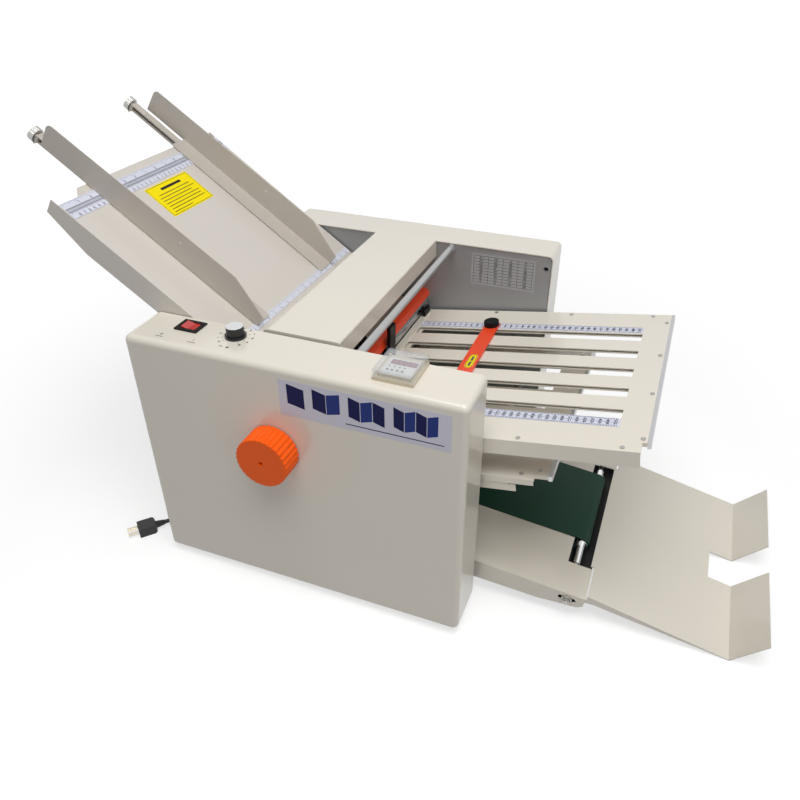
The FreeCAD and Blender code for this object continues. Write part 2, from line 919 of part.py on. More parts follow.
def tie_rods():
    """Bright rod beside the hood with its rear nut, the separator's rod and two low rods."""
    z = low + tie_height
    nut = rod_y(tie_x, z, tie_nut_radius, rear_plate_face - tie_nut_length, rear_plate_face)
    bright = join([rod_y(tie_x, z, tie_radius, front_plate_face, rear_plate_face), nut])
    rods = [bright]
    rods.append(rod_y(separator_rod_x, low + separator_rod_height, low_tie_radius,
                      front_plate_face, rear_plate_face))
    for along_share, up_share in low_tie_place_shares:
        rods.append(rod_y(along_share * cover_length, low + up_share * cover_height, low_tie_radius,
                          front_plate_face, rear_plate_face))
    return group(rods)


def rubber_feet():
    """Four rubber feet with stems that hold in the covers."""
    feet = []
    for x, y in all_feet():
        pad = rod_z(x, y, foot_radius, 0, low)
        stem = rod_z(x, y, foot_hole_radius - fit_gap, low, low + cover_wall)
        feet.append(join([pad, stem]))
    return group(feet)


# Hood
def hood_pivot():
    """Pivot line of the hood as (x, z)."""
    return hood_left + hood_length - hood_pivot_inset, low + hood_top - hood_pivot_inset


def hood():
    """Hood over the rollers, open below, on a pivot pin at each end."""
    x0 = hood_left
    x1 = hood_left + hood_length
    y0 = front_rim + hood_front_gap
    y1 = rear_rim - hood_rear_gap
    top = low + hood_top
    bottom = top - hood_left_depth
    outer = box(x0, x1, y0, y1, bottom, top)
    outer = fillet_where(outer, hood_left_radius, lambda point: near(point.z, top) and near(point.x, x0))
    outer = fillet_where(outer, hood_edge_radius, lambda point: near(point.z, top) and near(point.x, x1))
    inner = box(x0 + hood_wall, x1 - hood_wall, y0 + hood_wall, y1 - hood_wall,
                bottom - overrun, top - hood_wall)
    inner = fillet_where(inner, hood_left_radius - hood_wall,
                         lambda point: near(point.z, top - hood_wall) and near(point.x, x0 + hood_wall))
    right_cut = box(x0 + hood_wall, x1 + overrun, y0 - overrun, y1 + overrun,
                    bottom - overrun, top - hood_right_depth)
    shell = cut(outer, [inner, right_cut])
    pivot_x, pivot_z = hood_pivot()
    pins = [rod_y(pivot_x, pivot_z, hood_pin_radius, front_plate_face - plate_thickness, y0 + hood_wall),
            rod_y(pivot_x, pivot_z, hood_pin_radius, y1 - hood_wall, rear_plate_face + plate_thickness)]
    return join([shell] + pins)


# Feed tray and what lies on it; drawn level, then set on its slope
def on_tray(shape):
    """Set a piece drawn in the tray's frame on the slope."""
    return tilt(shape, tray_slope_deg, 0, low + tray_height_at_left)


def wheel_in_tray():
    """Feed wheel centre in the tray's frame as (s, h)."""
    x, z = feed_centre
    angle = math.radians(tray_slope_deg)
    drop = low + tray_height_at_left - z
    return x * math.cos(angle) + drop * math.sin(angle), x * math.sin(angle) - drop * math.cos(angle)


def feed_tray():
    """Feed tray sheet with its raised tab, two side flanges and the slot for the wheel."""
    y0 = mid_y - tray_width / 2
    y1 = mid_y + tray_width / 2
    near_end = -tray_upper_end
    tab_end = near_end - tray_tab_reach
    inset = tray_tab_inset
    slope = tray_tab_inset - tray_tab_reach
    plan = [(near_end, y0), (near_end, y0 + slope), (tab_end, y0 + inset), (tab_end, y1 - inset),
            (near_end, y1 - slope), (near_end, y1), (tray_lower_end, y1), (tray_lower_end, y0)]
    sheet = prism_z(plan, -tray_sheet, 0)
    side = [(-tray_flange_start, 0), (-tray_flange_start, -tray_flange_start_depth),
            (-tray_flange_kink, -tray_flange_depth),
            (tray_flange_taper_end / 2, -tray_flange_depth + tray_sheet),
            (tray_flange_taper_end, -tray_flange_end_depth),
            (tray_lower_end, -tray_flange_end_depth), (tray_lower_end, 0)]
    flanges = [prism_y(side, y0, y0 + tray_sheet), prism_y(side, y1 - tray_sheet, y1)]
    wheel_s, wheel_h = wheel_in_tray()
    half_chord = math.sqrt(roller_radius ** 2 - wheel_h ** 2)
    slot_half = feed_wheel_width / 2 + wheel_slot_play
    slot = box(wheel_s - half_chord - wheel_slot_play, tray_lower_end + overrun,
               mid_y - slot_half, mid_y + slot_half, -overrun, overrun)
    shaft_play = rod_y(wheel_s, wheel_h, journal_radius + knob_hole_play, y0 - overrun, y1 + overrun)
    shape = on_tray(cut(join([sheet] + flanges), [slot, shaft_play]))
    return cut(shape, stud_holes(tray_width / 2, fit_gap))


def tray_scales():
    """Upper scale strip with its groove, and the lower strip by the hood."""
    y0 = mid_y - tray_width / 2 + tray_sheet
    y1 = mid_y + tray_width / 2 - tray_sheet
    start = -tray_scale_start
    upper = box(start, start + tray_scale_width, y0, y1, 0, scale_thickness)
    groove_start = start + tray_groove_start
    groove = box(groove_start, groove_start + tray_groove_width, y0 - overrun, y1 + overrun,
                 scale_thickness - tray_groove_depth, scale_thickness + overrun)
    lower = box(lower_scale_start, lower_scale_start + lower_scale_width, y0, y1, 0, scale_thickness)
    return [on_tray(upper.cut(groove)), on_tray(lower)]


guide_lift = scale_thickness + seat_gap


def side_guide(side):
    """Tall guide wall with its foot, the rod's channel and blocks, and the clamp jaw."""
    wall_y = mid_y + side * guide_half_gap
    inner = -side
    wall = [(-guide_upper_reach, guide_lift), (-guide_upper_reach, guide_upper_height),
            (guide_kink, guide_kink_height), (guide_tip, guide_tip_height),
            (guide_lower_reach, guide_lift)]
    outer_y = wall_y + side * guide_sheet
    wall = prism_y(wall, min(wall_y, outer_y), max(wall_y, outer_y))
    wall = fillet_where(wall, guide_corner_radius,
                        lambda point: point.x < 0 and near(point.z, guide_upper_height))
    foot_y = wall_y + inner * guide_foot_width
    foot_top = guide_lift + guide_sheet
    foot = box(-guide_foot_upper_end, guide_lower_reach, min(wall_y, foot_y), max(wall_y, foot_y),
               guide_lift, foot_top)
    rail_near = wall_y + inner * rail_inset
    rail_far = rail_near + inner * rail_width
    rail_y0 = min(rail_near, rail_far)
    rail_y1 = max(rail_near, rail_far)
    rail_end = tab_edge() - seat_gap
    rail_low = guide_lift - rail_height
    strips = [box(-rail_reach, -guide_foot_upper_end + overrun, rail_y0, rail_y1, guide_lift, foot_top),
              box(-rail_reach, rail_end, rail_y1 - rail_wall, rail_y1, rail_low, guide_lift),
              box(-rail_reach, rail_end, rail_y0, rail_y1, rail_low - rail_wall, rail_low)]
    blocks = [box(start, start + rail_block_length, rail_y0, rail_y1, rail_low, guide_lift)
              for start in (-rail_reach, rail_end - rail_block_length)]
    tooth = prism_y([(-rail_reach, rail_low), (-rail_reach, rail_low - rail_tooth),
                     (-rail_reach + rail_tooth, rail_low)], rail_y0, rail_y1)
    rod_y0, rod_h = screw_axis(side)
    bore = Part.makeCylinder(screw_rod_radius + running_gap, rail_reach + rail_end + overrun,
                             Vec(-rail_reach - overrun, rod_y0, rod_h), AXIS_X)
    hole = rod_y(-guide_hole_place, guide_hole_height, guide_hole_radius,
                 min(wall_y, outer_y) - overrun, max(wall_y, outer_y) + overrun)
    return on_tray(cut(join([wall, foot] + strips + blocks + [tooth]), [bore, hole]))


def tab_edge():
    """Place along the slope of the tray's raised tab edge."""
    return -tray_upper_end - tray_tab_reach


def screw_axis(side):
    """Line of a guide's clamp screw in the tray's frame as (y, h)."""
    y = mid_y + side * (guide_half_gap - rail_inset - rail_width / 2)
    return y, guide_lift - rail_height / 2


def guide_screw(side):
    """Clamp rod of a guide with its ribbed round head at the upper end."""
    y, h = screw_axis(side)
    head_start = -rail_reach - seat_gap - screw_head_length
    rod = Part.makeCylinder(screw_rod_radius, rail_reach + tab_edge(),
                            Vec(-rail_reach - seat_gap, y, h), AXIS_X)
    outline = fluted_outline(screw_head_radius, screw_head_ribs, screw_head_rib_depth, flute_steps)
    points = [Vec(head_start, y + a, h + b) for a, b in outline]
    head = Part.Face(Part.makePolygon(points + points[:1])).extrude(Vec(screw_head_length, 0, 0))
    return on_tray(join([head, rod]))


def separator_bracket():
    """Arm from its rod down to the pad over the feed wheel."""
    s, h = separator_rod_in_tray()
    wheel_s, wheel_h = wheel_in_tray()
    pad_top = wheel_h + roller_radius + separator_gap + separator_pad_thickness
    pad_end = wheel_s - separator_pad_back + separator_pad_length / 2
    thick = separator_arm_thickness
    arm = [(s, h - thick), (s + thick, h + thick), (pad_end, pad_top + thick / 2),
           (pad_end, pad_top), (pad_end - separator_pad_length, pad_top)]
    y0 = mid_y - separator_arm_width / 2
    y1 = mid_y + separator_arm_width / 2
    collar = rod_y(s, h, separator_collar_radius, y0, y1)
    shape = join([prism_y(arm, y0, y1), collar])
    return on_tray(cut(shape, [rod_y(s, h, low_tie_radius + fit_gap, y0 - overrun, y1 + overrun)]))


def separator_rod_in_tray():
    """Separator rod centre in the tray's frame as (s, h)."""
    angle = math.radians(tray_slope_deg)
    drop = tray_height_at_left - separator_rod_height
    s = separator_rod_x * math.cos(angle) + drop * math.sin(angle)
    h = separator_rod_x * math.sin(angle) - drop * math.cos(angle)
    return s, h


def separator_pad():
    """Rubber pad that holds back all sheets but one; its underside clears the wheel."""
    wheel_s, wheel_h = wheel_in_tray()
    top = wheel_h + roller_radius + separator_gap + separator_pad_thickness
    y0 = mid_y - separator_pad_width / 2
    y1 = mid_y + separator_pad_width / 2
    middle = wheel_s - separator_pad_back
    half = separator_pad_length / 2
    pad = box(middle - half, middle + half, y0, y1, top - separator_pad_thickness, top)
    return on_tray(pad)


# Fold plates
def on_upper(shape):
    """Set a piece drawn level on the upper right fold plate."""
    return tilt(shape, -fold_tilt_deg, cover_length, low + upper_ref_height)


def on_lower(shape):
    """Set a piece drawn level on the lower right fold plate."""
    return tilt(shape, -fold_tilt_deg, lower_ref_x, low + lower_ref_height)


def slot_rows():
    """Y of the middle of each long slot."""
    return [mid_y + (index - (slot_count - 1) / 2) * slot_pitch for index in range(slot_count)]


def slots(start, end, depth):
    """Long slots through a sheet, from one place to another along the plate."""
    half = slot_width / 2
    return [box(start, end, y - half, y + half, -depth, overrun) for y in slot_rows()]


def upper_screw_places():
    """Screws along both sides and across the outer end of the upper plate, as (s, y)."""
    places = []
    half = upper_width / 2 - side_screw_inset
    for side in (-1, 1):
        s = side_screw_first
        while s > -upper_mouth + screw_head_radius_small:
            places.append((s, mid_y + side * half))
            s = s - side_screw_pitch
    end = upper_end - end_screw_inset
    for index in (-1, 0, 1, 2):
        places.append((end, mid_y + (index - 1 / 2) * end_screw_pitch))
    return places


def screw_holes(places, radius):
    """Holes for small screws through both sheets."""
    depth = 2 * fold_sheet + fold_gap
    return [rod_z(s, y, radius, -depth - overrun, overrun) for s, y in places]


def small_screws(places):
    """Pan-head screws standing on the sheet, their stems through both sheets."""
    stem_end = -2 * fold_sheet - fold_gap
    pieces = []
    for s, y in places:
        head = rod_z(s, y, screw_head_radius_small, 0, screw_head_height)
        stem = rod_z(s, y, screw_stem_radius, stem_end, 0)
        pieces.append(join([head, stem]))
    return pieces


def upper_top_sheet():
    """Slotted top sheet of the upper plate, with the raised bar at its mouth."""
    y0 = mid_y - upper_width / 2
    y1 = mid_y + upper_width / 2
    sheet = box(-upper_mouth, upper_end, y0, y1, -fold_sheet, 0)
    corner = box(upper_end - upper_notch, upper_end + overrun, y0 - overrun, y0 + upper_notch_width,
                 -overrun, overrun)
    bar = box(-upper_mouth, -upper_mouth + mouth_bar_width, y0 + mouth_bar_inset, y1 - mouth_bar_inset,
              0, mouth_bar_height)
    slotted = cut(sheet, slots(-slot_start, slot_end, overrun) + [corner])
    shape = join([slotted, bar])
    return on_upper(cut(shape, screw_holes(upper_screw_places(), screw_stem_radius + fit_gap)))


def upper_bottom_sheet():
    """Lower sheet of the upper plate, with its spacer edges and deep side flanges."""
    y0 = mid_y - upper_width / 2
    y1 = mid_y + upper_width / 2
    top = -fold_sheet
    floor = top - fold_gap
    sheet = box(-upper_mouth, upper_end, y0, y1, floor - fold_sheet, floor)
    corner = box(upper_end - upper_notch, upper_end + overrun, y0 - overrun, y0 + upper_notch_width,
                 -upper_flange_depth - overrun, overrun)
    pieces = [sheet]
    for edge0, edge1 in ((y0, y0 + fold_spacer_width), (y1 - fold_spacer_width, y1)):
        pieces.append(box(-upper_mouth, upper_end, edge0, edge1, floor, top))
    for edge in (y0, y1 - fold_sheet):
        flange = box(-upper_flange_start, upper_end, edge, edge + fold_sheet, -upper_flange_depth, floor)
        pieces.append(fillet_where(flange, upper_flange_corner, lambda point: near(point.x, upper_end)
                                   and near(point.z, -upper_flange_depth)))
    pieces.append(box(upper_end - fold_spacer_width, upper_end, y0, y1, floor, top))
    shape = cut(join(pieces), slots(-bottom_slot_start, slot_end, upper_flange_depth) + [corner])
    shape = cut(shape, screw_holes(upper_screw_places(), screw_stem_radius + fit_gap))
    return cut(on_upper(shape), stud_holes(upper_width / 2, fit_gap))


def upper_scales():
    """Rear and front scale strips of the upper plate."""
    rear = mid_y + rear_scale_centre
    front = mid_y - front_scale_centre
    strips = []
    for centre, width in ((rear, rear_scale_width), (front, front_scale_width)):
        strip = box(-slot_start, slot_end, centre - width / 2, centre + width / 2, 0, scale_thickness)
        strips.append(strip)
    gaps = slots(-slot_start - overrun, slot_end + overrun, overrun)
    return [on_upper(cut(strip, gaps)) for strip in strips]


def scale_strips():
    """Every scale strip of the machine."""
    return group(tray_scales() + upper_scales())


def lower_screw_places():
    """Screws near the outer end of the lower plate, as (s, y)."""
    y0 = mid_y - lower_width / 2
    y1 = mid_y + lower_width / 2
    front = y0 + lower_step_width
    rear = y1 - lower_step_width
    s = lower_step - lower_screw_inset
    return [(s, front), (s, rear), (lower_step + lower_bar_width, front + fold_spacer_width),
            (lower_step + lower_bar_width, rear - fold_spacer_width)]


def plate_screws():
    """Small screws of both right fold plates."""
    upper = [on_upper(screw) for screw in small_screws(upper_screw_places())]
    lower = [on_lower(screw) for screw in small_screws(lower_screw_places())]
    return group(upper + lower)


def lower_top_sheet():
    """Top sheet of the lower plate: stepped outer end, shallow side flanges."""
    y0 = mid_y - lower_width / 2
    y1 = mid_y + lower_width / 2
    wide = box(-lower_mouth, lower_step, y0, y1, -fold_sheet, 0)
    tongue = box(lower_step, lower_end, y0 + lower_step_width, y1 - lower_step_width, -fold_sheet, 0)
    flanges = [box(-lower_flange_start, lower_step, edge, edge + fold_sheet, -lower_slot_depth, 0)
               for edge in (y0, y1 - fold_sheet)]
    windows = slots(-lower_window_start, lower_window_end, overrun + fold_sheet)
    shape = cut(join([wide, tongue] + flanges),
                windows + screw_holes(lower_screw_places(), screw_stem_radius + fit_gap))
    return on_lower(shape)


def lower_bottom_sheet():
    """Lower sheet of the lower plate: spacer edges, and side flanges below an open slot."""
    y0 = mid_y - lower_width / 2 + fold_sheet + fit_gap
    y1 = mid_y + lower_width / 2 - fold_sheet - fit_gap
    top = -fold_sheet
    floor = top - fold_gap
    sheet = box(-lower_mouth, lower_step, y0, y1, floor - fold_sheet, floor)
    tongue = box(lower_step, lower_end, mid_y - lower_width / 2 + lower_step_width,
                 mid_y + lower_width / 2 - lower_step_width, floor - fold_sheet, floor)
    end_spacer = box(lower_step, lower_end, mid_y - lower_width / 2 + lower_step_width,
                     mid_y + lower_width / 2 - lower_step_width, floor, top)
    pieces = [sheet, tongue, end_spacer]
    slot_low = -lower_slot_depth - lower_slot_height
    side = [(-lower_flange_start, floor), (lower_step - fold_spacer_width, floor),
            (lower_slot_mouth, -lower_slot_depth), (lower_slot_mouth - fold_spacer_width, -lower_slot_depth),
            (lower_slot_mouth - fold_spacer_width, slot_low), (lower_slot_mouth, slot_low),
            (lower_slot_mouth, -lower_flange_depth), (-lower_flange_start, -lower_flange_depth)]
    for edge in (y0, y1 - fold_sheet):
        pieces.append(prism_y(side, edge, edge + fold_sheet))
    for edge0, edge1 in ((y0, y0 + fold_spacer_width), (y1 - fold_spacer_width, y1)):
        pieces.append(box(-lower_mouth, lower_step, edge0, edge1, floor, top))
    windows = slots(-lower_window_start, lower_window_end, lower_flange_depth)
    shape = cut(join(pieces), windows + screw_holes(lower_screw_places(), screw_stem_radius + fit_gap))
    return cut(on_lower(shape), stud_holes(lower_width / 2, fit_gap))


def plate_end_bars():
    """Aluminium bars across the outer ends of both right fold plates."""
    upper = box(upper_end, upper_end + end_bar_width, mid_y - upper_width / 2 + upper_notch_width,
                mid_y + upper_width / 2, -end_bar_depth, 0)
    lower = box(lower_end, lower_end + lower_bar_width, mid_y - lower_width / 2 + lower_step_width,
                mid_y + lower_width / 2 - lower_step_width, -lower_bar_depth, 0)
    return group([on_upper(upper), on_lower(lower)])


def left_fold_plates():
    """The two left fold plates: joined sheets, side flanges and the stop between the sheets."""
    y0 = mid_y - left_width / 2
    y1 = mid_y + left_width / 2
    depth = 2 * fold_sheet + fold_gap
    plates = []
    for mouth_x, mouth_z in left_mouths():
        pieces = [box(-left_length, 0, y0, y1, -fold_sheet, 0),
                  box(-left_length, 0, y0, y1, -depth, -depth + fold_sheet),
                  box(-left_stop_place - left_stop_thickness, -left_stop_place, y0, y1, -depth, 0)]
        for edge in (y0, y1 - fold_sheet):
            pieces.append(box(-left_length, 0, edge, edge + fold_sheet, -left_flange_depth, 0))
        plates.append(tilt(join(pieces), left_tilt_deg, mouth_x, mouth_z))
    return cut(group(plates), stud_holes(left_width / 2, fit_gap))


def stop_bar():
    """Bar across the upper plate with a finger down each slot."""
    lift = scale_thickness + seat_gap
    start = -stop_place
    bar = box(start, start + stop_width, mid_y - stop_half_length, mid_y + stop_half_length,
              lift, lift + stop_thickness)
    half = stop_finger_width / 2
    fingers = [box(start, start + stop_finger_thickness, y - half, y + half,
                   -2 * fold_sheet - fold_gap, lift) for y in slot_rows()]
    holes = [rod_z(*knob_place(side), clamp_stem_radius + running_gap, 0, lift + stop_thickness + overrun)
             for side in (-1, 1)]
    return on_upper(cut(join([bar] + fingers), holes))


def knob_place(side):
    """Place of a clamp knob on the stop bar as (s, y)."""
    return -stop_place + clamp_knob_from_edge, mid_y + side * clamp_knob_offset


def stop_knob(side):
    """Fluted clamp knob with its stem through the stop bar."""
    s, y = knob_place(side)
    bar_top = scale_thickness + seat_gap + stop_thickness
    base = bar_top + seat_gap
    outline = fluted_outline(clamp_knob_radius, clamp_knob_flutes, clamp_flute_depth, flute_steps)
    head = prism_z([(s + a, y + b) for a, b in outline], base, base + clamp_knob_height)
    stem = rod_z(s, y, clamp_stem_radius, scale_thickness + seat_gap, base)
    return on_upper(join([head, stem]))


def roller_guard():
    """Bent guard strip over the first roller, from side plate to side plate."""
    t = guard_thickness
    shaft_z = feed_centre[1]
    left_z = shaft_z + guard_left_over_shaft
    right_z = shaft_z + guard_right_over_shaft
    lip_z = shaft_z + guard_lip_over_shaft
    outline = [(guard_left_x, left_z), (guard_right_x, right_z), (guard_lip_x, lip_z),
               (guard_lip_x - t, lip_z - t / 2), (guard_right_x - t, right_z - t), (guard_left_x, left_z - t)]
    return prism_y(outline, front_plate_face, rear_plate_face)


def plate_latches():
    """Black latch and two end blocks that stand on the mouth bar of the upper plate."""
    s = (latch_foot_x - cover_length) / math.cos(math.radians(fold_tilt_deg))
    foot_x, foot_z = tilted_point(s, mouth_bar_height, -fold_tilt_deg, cover_length, low + upper_ref_height)
    t = latch_thickness
    foot_x2, foot_z2 = tilted_point(s - t, mouth_bar_height, -fold_tilt_deg, cover_length,
                                    low + upper_ref_height)
    top = low + upper_ref_height + latch_rise
    outline = [(foot_x2, foot_z2), (foot_x, foot_z), (latch_top_x + t / 2, top), (latch_top_x - t / 2, top)]
    half = latch_width / 2
    pieces = [prism_y(outline, mid_y - half, mid_y + half)]
    end = upper_width / 2 - mouth_bar_inset
    for y0 in (mid_y - end, mid_y + end - latch_block_length):
        block = box(s - t, s, y0, y0 + latch_block_length, mouth_bar_height,
                    mouth_bar_height + latch_block_height)
        pieces.append(on_upper(block))
    return group(pieces)


# Conveyor
def on_conveyor(shape):
    """Set a piece drawn level on the conveyor's slope."""
    return tilt(shape, conveyor_slope_deg, conveyor_ref_x, low + conveyor_ref_height)


belt_outer_radius = belt_roller_radius + conveyor_belt_thickness + seat_gap
roller_drop = belt_outer_radius - conveyor_belt_lift - conveyor_belt_thickness


def drive_roller_centre():
    """Drive roller centre as (x, z)."""
    return tilted_point(-drive_roller_place, -roller_drop, conveyor_slope_deg,
                        conveyor_ref_x, low + conveyor_ref_height)


def end_roller_centre():
    """End roller centre as (x, z)."""
    return tilted_point(end_roller_place, -roller_drop, conveyor_slope_deg,
                        conveyor_ref_x, low + conveyor_ref_height)


def conveyor_frame():
    """Conveyor deck with side flanges, roller windows, axle slots and tray pins."""
    y0 = mid_y - conveyor_width / 2
    y1 = mid_y + conveyor_width / 2
    deck = box(-conveyor_left, conveyor_right, y0, y1, -conveyor_sheet, 0)
    side = [(-conveyor_left, 0), (-conveyor_left, -conveyor_side_depth), (0, -conveyor_side_depth),
            (conveyor_mid, -conveyor_mid_depth), (conveyor_end_corner, -conveyor_end_depth),
            (conveyor_right, -conveyor_end_depth + conveyor_end_round), (conveyor_right, 0)]
    flanges = [prism_y(side, edge, edge + conveyor_sheet) for edge in (y0, y1 - conveyor_sheet)]
    notch = box(conveyor_notch_start, conveyor_right + overrun, mid_y - conveyor_notch_front,
                mid_y + conveyor_notch_rear, -overrun, overrun)
    window = box(-drive_roller_place - roller_window, -drive_roller_place + roller_window,
                 mid_y - belt_front - roller_window_side, mid_y + belt_rear + roller_window_side,
                 -overrun, overrun)
    drive_hole = rod_y(-drive_roller_place, -roller_drop, journal_radius + knob_hole_play,
                       y0 - overrun, y1 + overrun)
    slot_half = (axle_slot_length - axle_slot_width) / 2
    slot = join([box(end_roller_place - slot_half, end_roller_place + slot_half, y0 - overrun, y1 + overrun,
                     -roller_drop - axle_slot_width / 2, -roller_drop + axle_slot_width / 2),
                 rod_y(end_roller_place - slot_half, -roller_drop, axle_slot_width / 2,
                       y0 - overrun, y1 + overrun),
                 rod_y(end_roller_place + slot_half, -roller_drop, axle_slot_width / 2,
                       y0 - overrun, y1 + overrun)])
    shape = on_conveyor(cut(join([deck] + flanges), [notch, window, drive_hole, slot]))
    x, z = tray_pivot()
    pins = [rod_y(x, z, tray2_pin_radius, y0 + conveyor_sheet, y0 + conveyor_sheet + tray2_pin_length),
            rod_y(x, z, tray2_pin_radius, y1 - conveyor_sheet - tray2_pin_length, y1 - conveyor_sheet)]
    return cut(join([shape] + pins), stud_holes(conveyor_width / 2, fit_gap))


def tray_pivot():
    """Pivot line of the receiving tray as (x, z)."""
    return tray2_pivot_x, low + tray2_pivot_height


def conveyor_belt():
    """Flat conveyor belt round both rollers, over and under the deck."""
    loop = belt_loop((-drive_roller_place, -roller_drop), belt_roller_radius + seat_gap,
                     (end_roller_place, -roller_drop), belt_roller_radius + seat_gap,
                     conveyor_belt_thickness, mid_y - belt_front, mid_y + belt_rear)
    return on_conveyor(loop)


def hull_outline(first, first_radius, second, second_radius, y):
    """Closed wire round two circles: two straight runs and two arcs."""
    dx = second[0] - first[0]
    dz = second[1] - first[1]
    distance = math.hypot(dx, dz)
    along = math.atan2(dz, dx)
    lean = math.acos((first_radius - second_radius) / distance)

    def at(centre, radius, angle):
        return Vec(centre[0] + radius * math.cos(angle), y, centre[1] + radius * math.sin(angle))

    top = along + lean
    bottom = along - lean
    first_top = at(first, first_radius, top)
    first_bottom = at(first, first_radius, bottom)
    second_top = at(second, second_radius, top)
    second_bottom = at(second, second_radius, bottom)
    edges = [Part.LineSegment(first_top, second_top).toShape(),
             Part.Arc(second_top, at(second, second_radius, along), second_bottom).toShape(),
             Part.LineSegment(second_bottom, first_bottom).toShape(),
             Part.Arc(first_bottom, at(first, first_radius, along + math.pi), first_top).toShape()]
    return Part.Wire(edges)


def belt_loop(first, first_radius, second, second_radius, thickness, y0, y1):
    """Belt of even thickness round two pulleys."""
    depth = Vec(0, y1 - y0, 0)
    outer = Part.Face(hull_outline(first, first_radius + thickness, second, second_radius + thickness, y0))
    inner = Part.Face(hull_outline(first, first_radius, second, second_radius, y0))
    return outer.extrude(depth).cut(inner.extrude(depth))


def drive_belts():
    """Motor belt to the fourth roller, and the belt from the sixth roller to the conveyor."""
    motor = (motor_x, low + motor_height)
    y0 = pulley_y + pulley_flange_width + belt_side_gap
    y1 = pulley_y + pulley_width - pulley_flange_width - belt_side_gap
    main = belt_loop(motor, motor_pulley_radius + seat_gap, fold_centres[3],
                     driven_pulley_radius + seat_gap, belt_thickness, y0, y1)
    y0 = cord_pulley_y + pulley_flange_width + belt_side_gap
    y1 = cord_pulley_y + cord_pulley_width - pulley_flange_width - belt_side_gap
    small = belt_loop(fold_centres[5], cord_pulley_radius + seat_gap, drive_roller_centre(),
                      cord_pulley_radius + seat_gap, belt_thickness, y0, y1)
    return group([main, small])


def conveyor_drive_roller():
    """Drive roller of the conveyor with its journals and its small pulley."""
    x, z = drive_roller_centre()
    front = mid_y - belt_front - roller_belt_margin
    rear = mid_y + belt_rear + roller_belt_margin
    last = cord_pulley_y + cord_pulley_width + fit_gap
    body = join([rod_y(x, z, belt_roller_radius, front, rear),
                 rod_y(x, z, journal_radius, front_plate_face - bearing_width - journal_front_stub, last)])
    return group([body, pulley((x, z), cord_pulley_radius, cord_pulley_width, cord_pulley_y,
                               journal_radius + fit_gap)])


def conveyor_end_roller():
    """End roller with its thinner bright necks, turning on a fixed axle."""
    x, z = end_roller_centre()
    face = rod_y(x, z, belt_roller_radius, mid_y - belt_front - roller_belt_margin,
                 mid_y + belt_rear + roller_belt_margin)
    neck = rod_y(x, z, end_neck_radius, mid_y - end_neck_front, mid_y + end_neck_rear)
    bore = rod_y(x, z, axle_radius + running_gap, mid_y - conveyor_width, mid_y + conveyor_width)
    return cut(join([face, neck]), [bore])


def end_axle():
    """Fixed axle of the end roller, with a washer and a nut outside each flange."""
    x, z = end_roller_centre()
    y0 = mid_y - conveyor_width / 2
    y1 = mid_y + conveyor_width / 2
    reach = washer_thickness + nut_thickness + axle_tip
    pieces = [rod_y(x, z, axle_radius, y0 - reach, y1 + reach)]
    for start in (y0 - washer_thickness, y1):
        pieces.append(rod_y(x, z, washer_radius, start, start + washer_thickness))
    for start in (y0 - washer_thickness - nut_thickness, y1 + washer_thickness):
        corners = [(x + nut_radius * math.cos(math.radians(60 * k)),
                    z + nut_radius * math.sin(math.radians(60 * k))) for k in range(6)]
        pieces.append(prism_y(corners, start, start + nut_thickness))
    return join(pieces)


# Receiving tray
def receiving_tray():
    """Receiving tray: sloping sheet, turned-up notched end, tapered sides and hanging ears."""
    y0 = mid_y - tray2_width / 2
    y1 = mid_y + tray2_width / 2
    start_z = low + tray2_start_height
    t = tray2_sheet
    slope = (start_z - t) / (tray2_bend_x - tray2_start_x)
    flap = math.radians(tray2_flap_deg)
    tip_x = tray2_bend_x + tray2_flap_length * math.cos(flap)
    tip_z = t + tray2_flap_length * math.sin(flap)
    outline = [(tray2_start_x, start_z), (tray2_bend_x, t), (tip_x, tip_z),
               (tip_x + t * math.sin(flap), tip_z - t * math.cos(flap)),
               (tray2_bend_x + t * math.tan(flap / 2), 0), (tray2_bend_x - t * math.tan(flap / 2), 0),
               (tray2_start_x, start_z - t)]
    sheet = prism_y(outline, y0, y1)
    tongue_x = tray2_tongue_x
    tongue = prism_y([(tongue_x, start_z + slope * (tray2_start_x - tongue_x)), (tray2_start_x, start_z),
                      (tray2_start_x, start_z - t),
                      (tongue_x, start_z + slope * (tray2_start_x - tongue_x) - t)],
                     mid_y - conveyor_notch_front + tray2_tongue_side_gap,
                     mid_y + conveyor_notch_rear - tray2_tongue_side_gap)
    side_end = tray2_bend_x - tray2_side_depth
    side_z = slope * tray2_side_depth
    side = [(tray2_start_x, start_z - t / 2), (side_end, side_z + t / 2), (side_end, side_z),
            (tray2_start_x, start_z - tray2_side_depth)]
    x, z = tray_pivot()
    r = tray2_ear_radius
    arm = [(x, z - r), (x, z + tray2_pin_radius), (tray2_start_x - seat_gap, z + tray2_pin_radius),
           (tray2_start_x, start_z - t), (tray2_start_x + tray2_side_depth, start_z - t - r),
           (tray2_start_x + tray2_side_depth, z - r)]
    pieces = [sheet, tongue]
    for edge in (y0, y1 - t):
        pieces.append(prism_y(side, edge, edge + t))
        pieces.append(prism_y(arm, edge, edge + t))
        pieces.append(rod_y(x, z, r, edge, edge + t))
    notch = box(tray2_notch_x, tip_x + overrun, mid_y - tray2_notch_width / 2, mid_y + tray2_notch_width / 2,
                -overrun, tip_z + overrun)
    holes = rod_y(x, z, tray2_pin_radius + running_gap, y0 - overrun, y1 + overrun)
    return cut(join(pieces), [notch, holes])


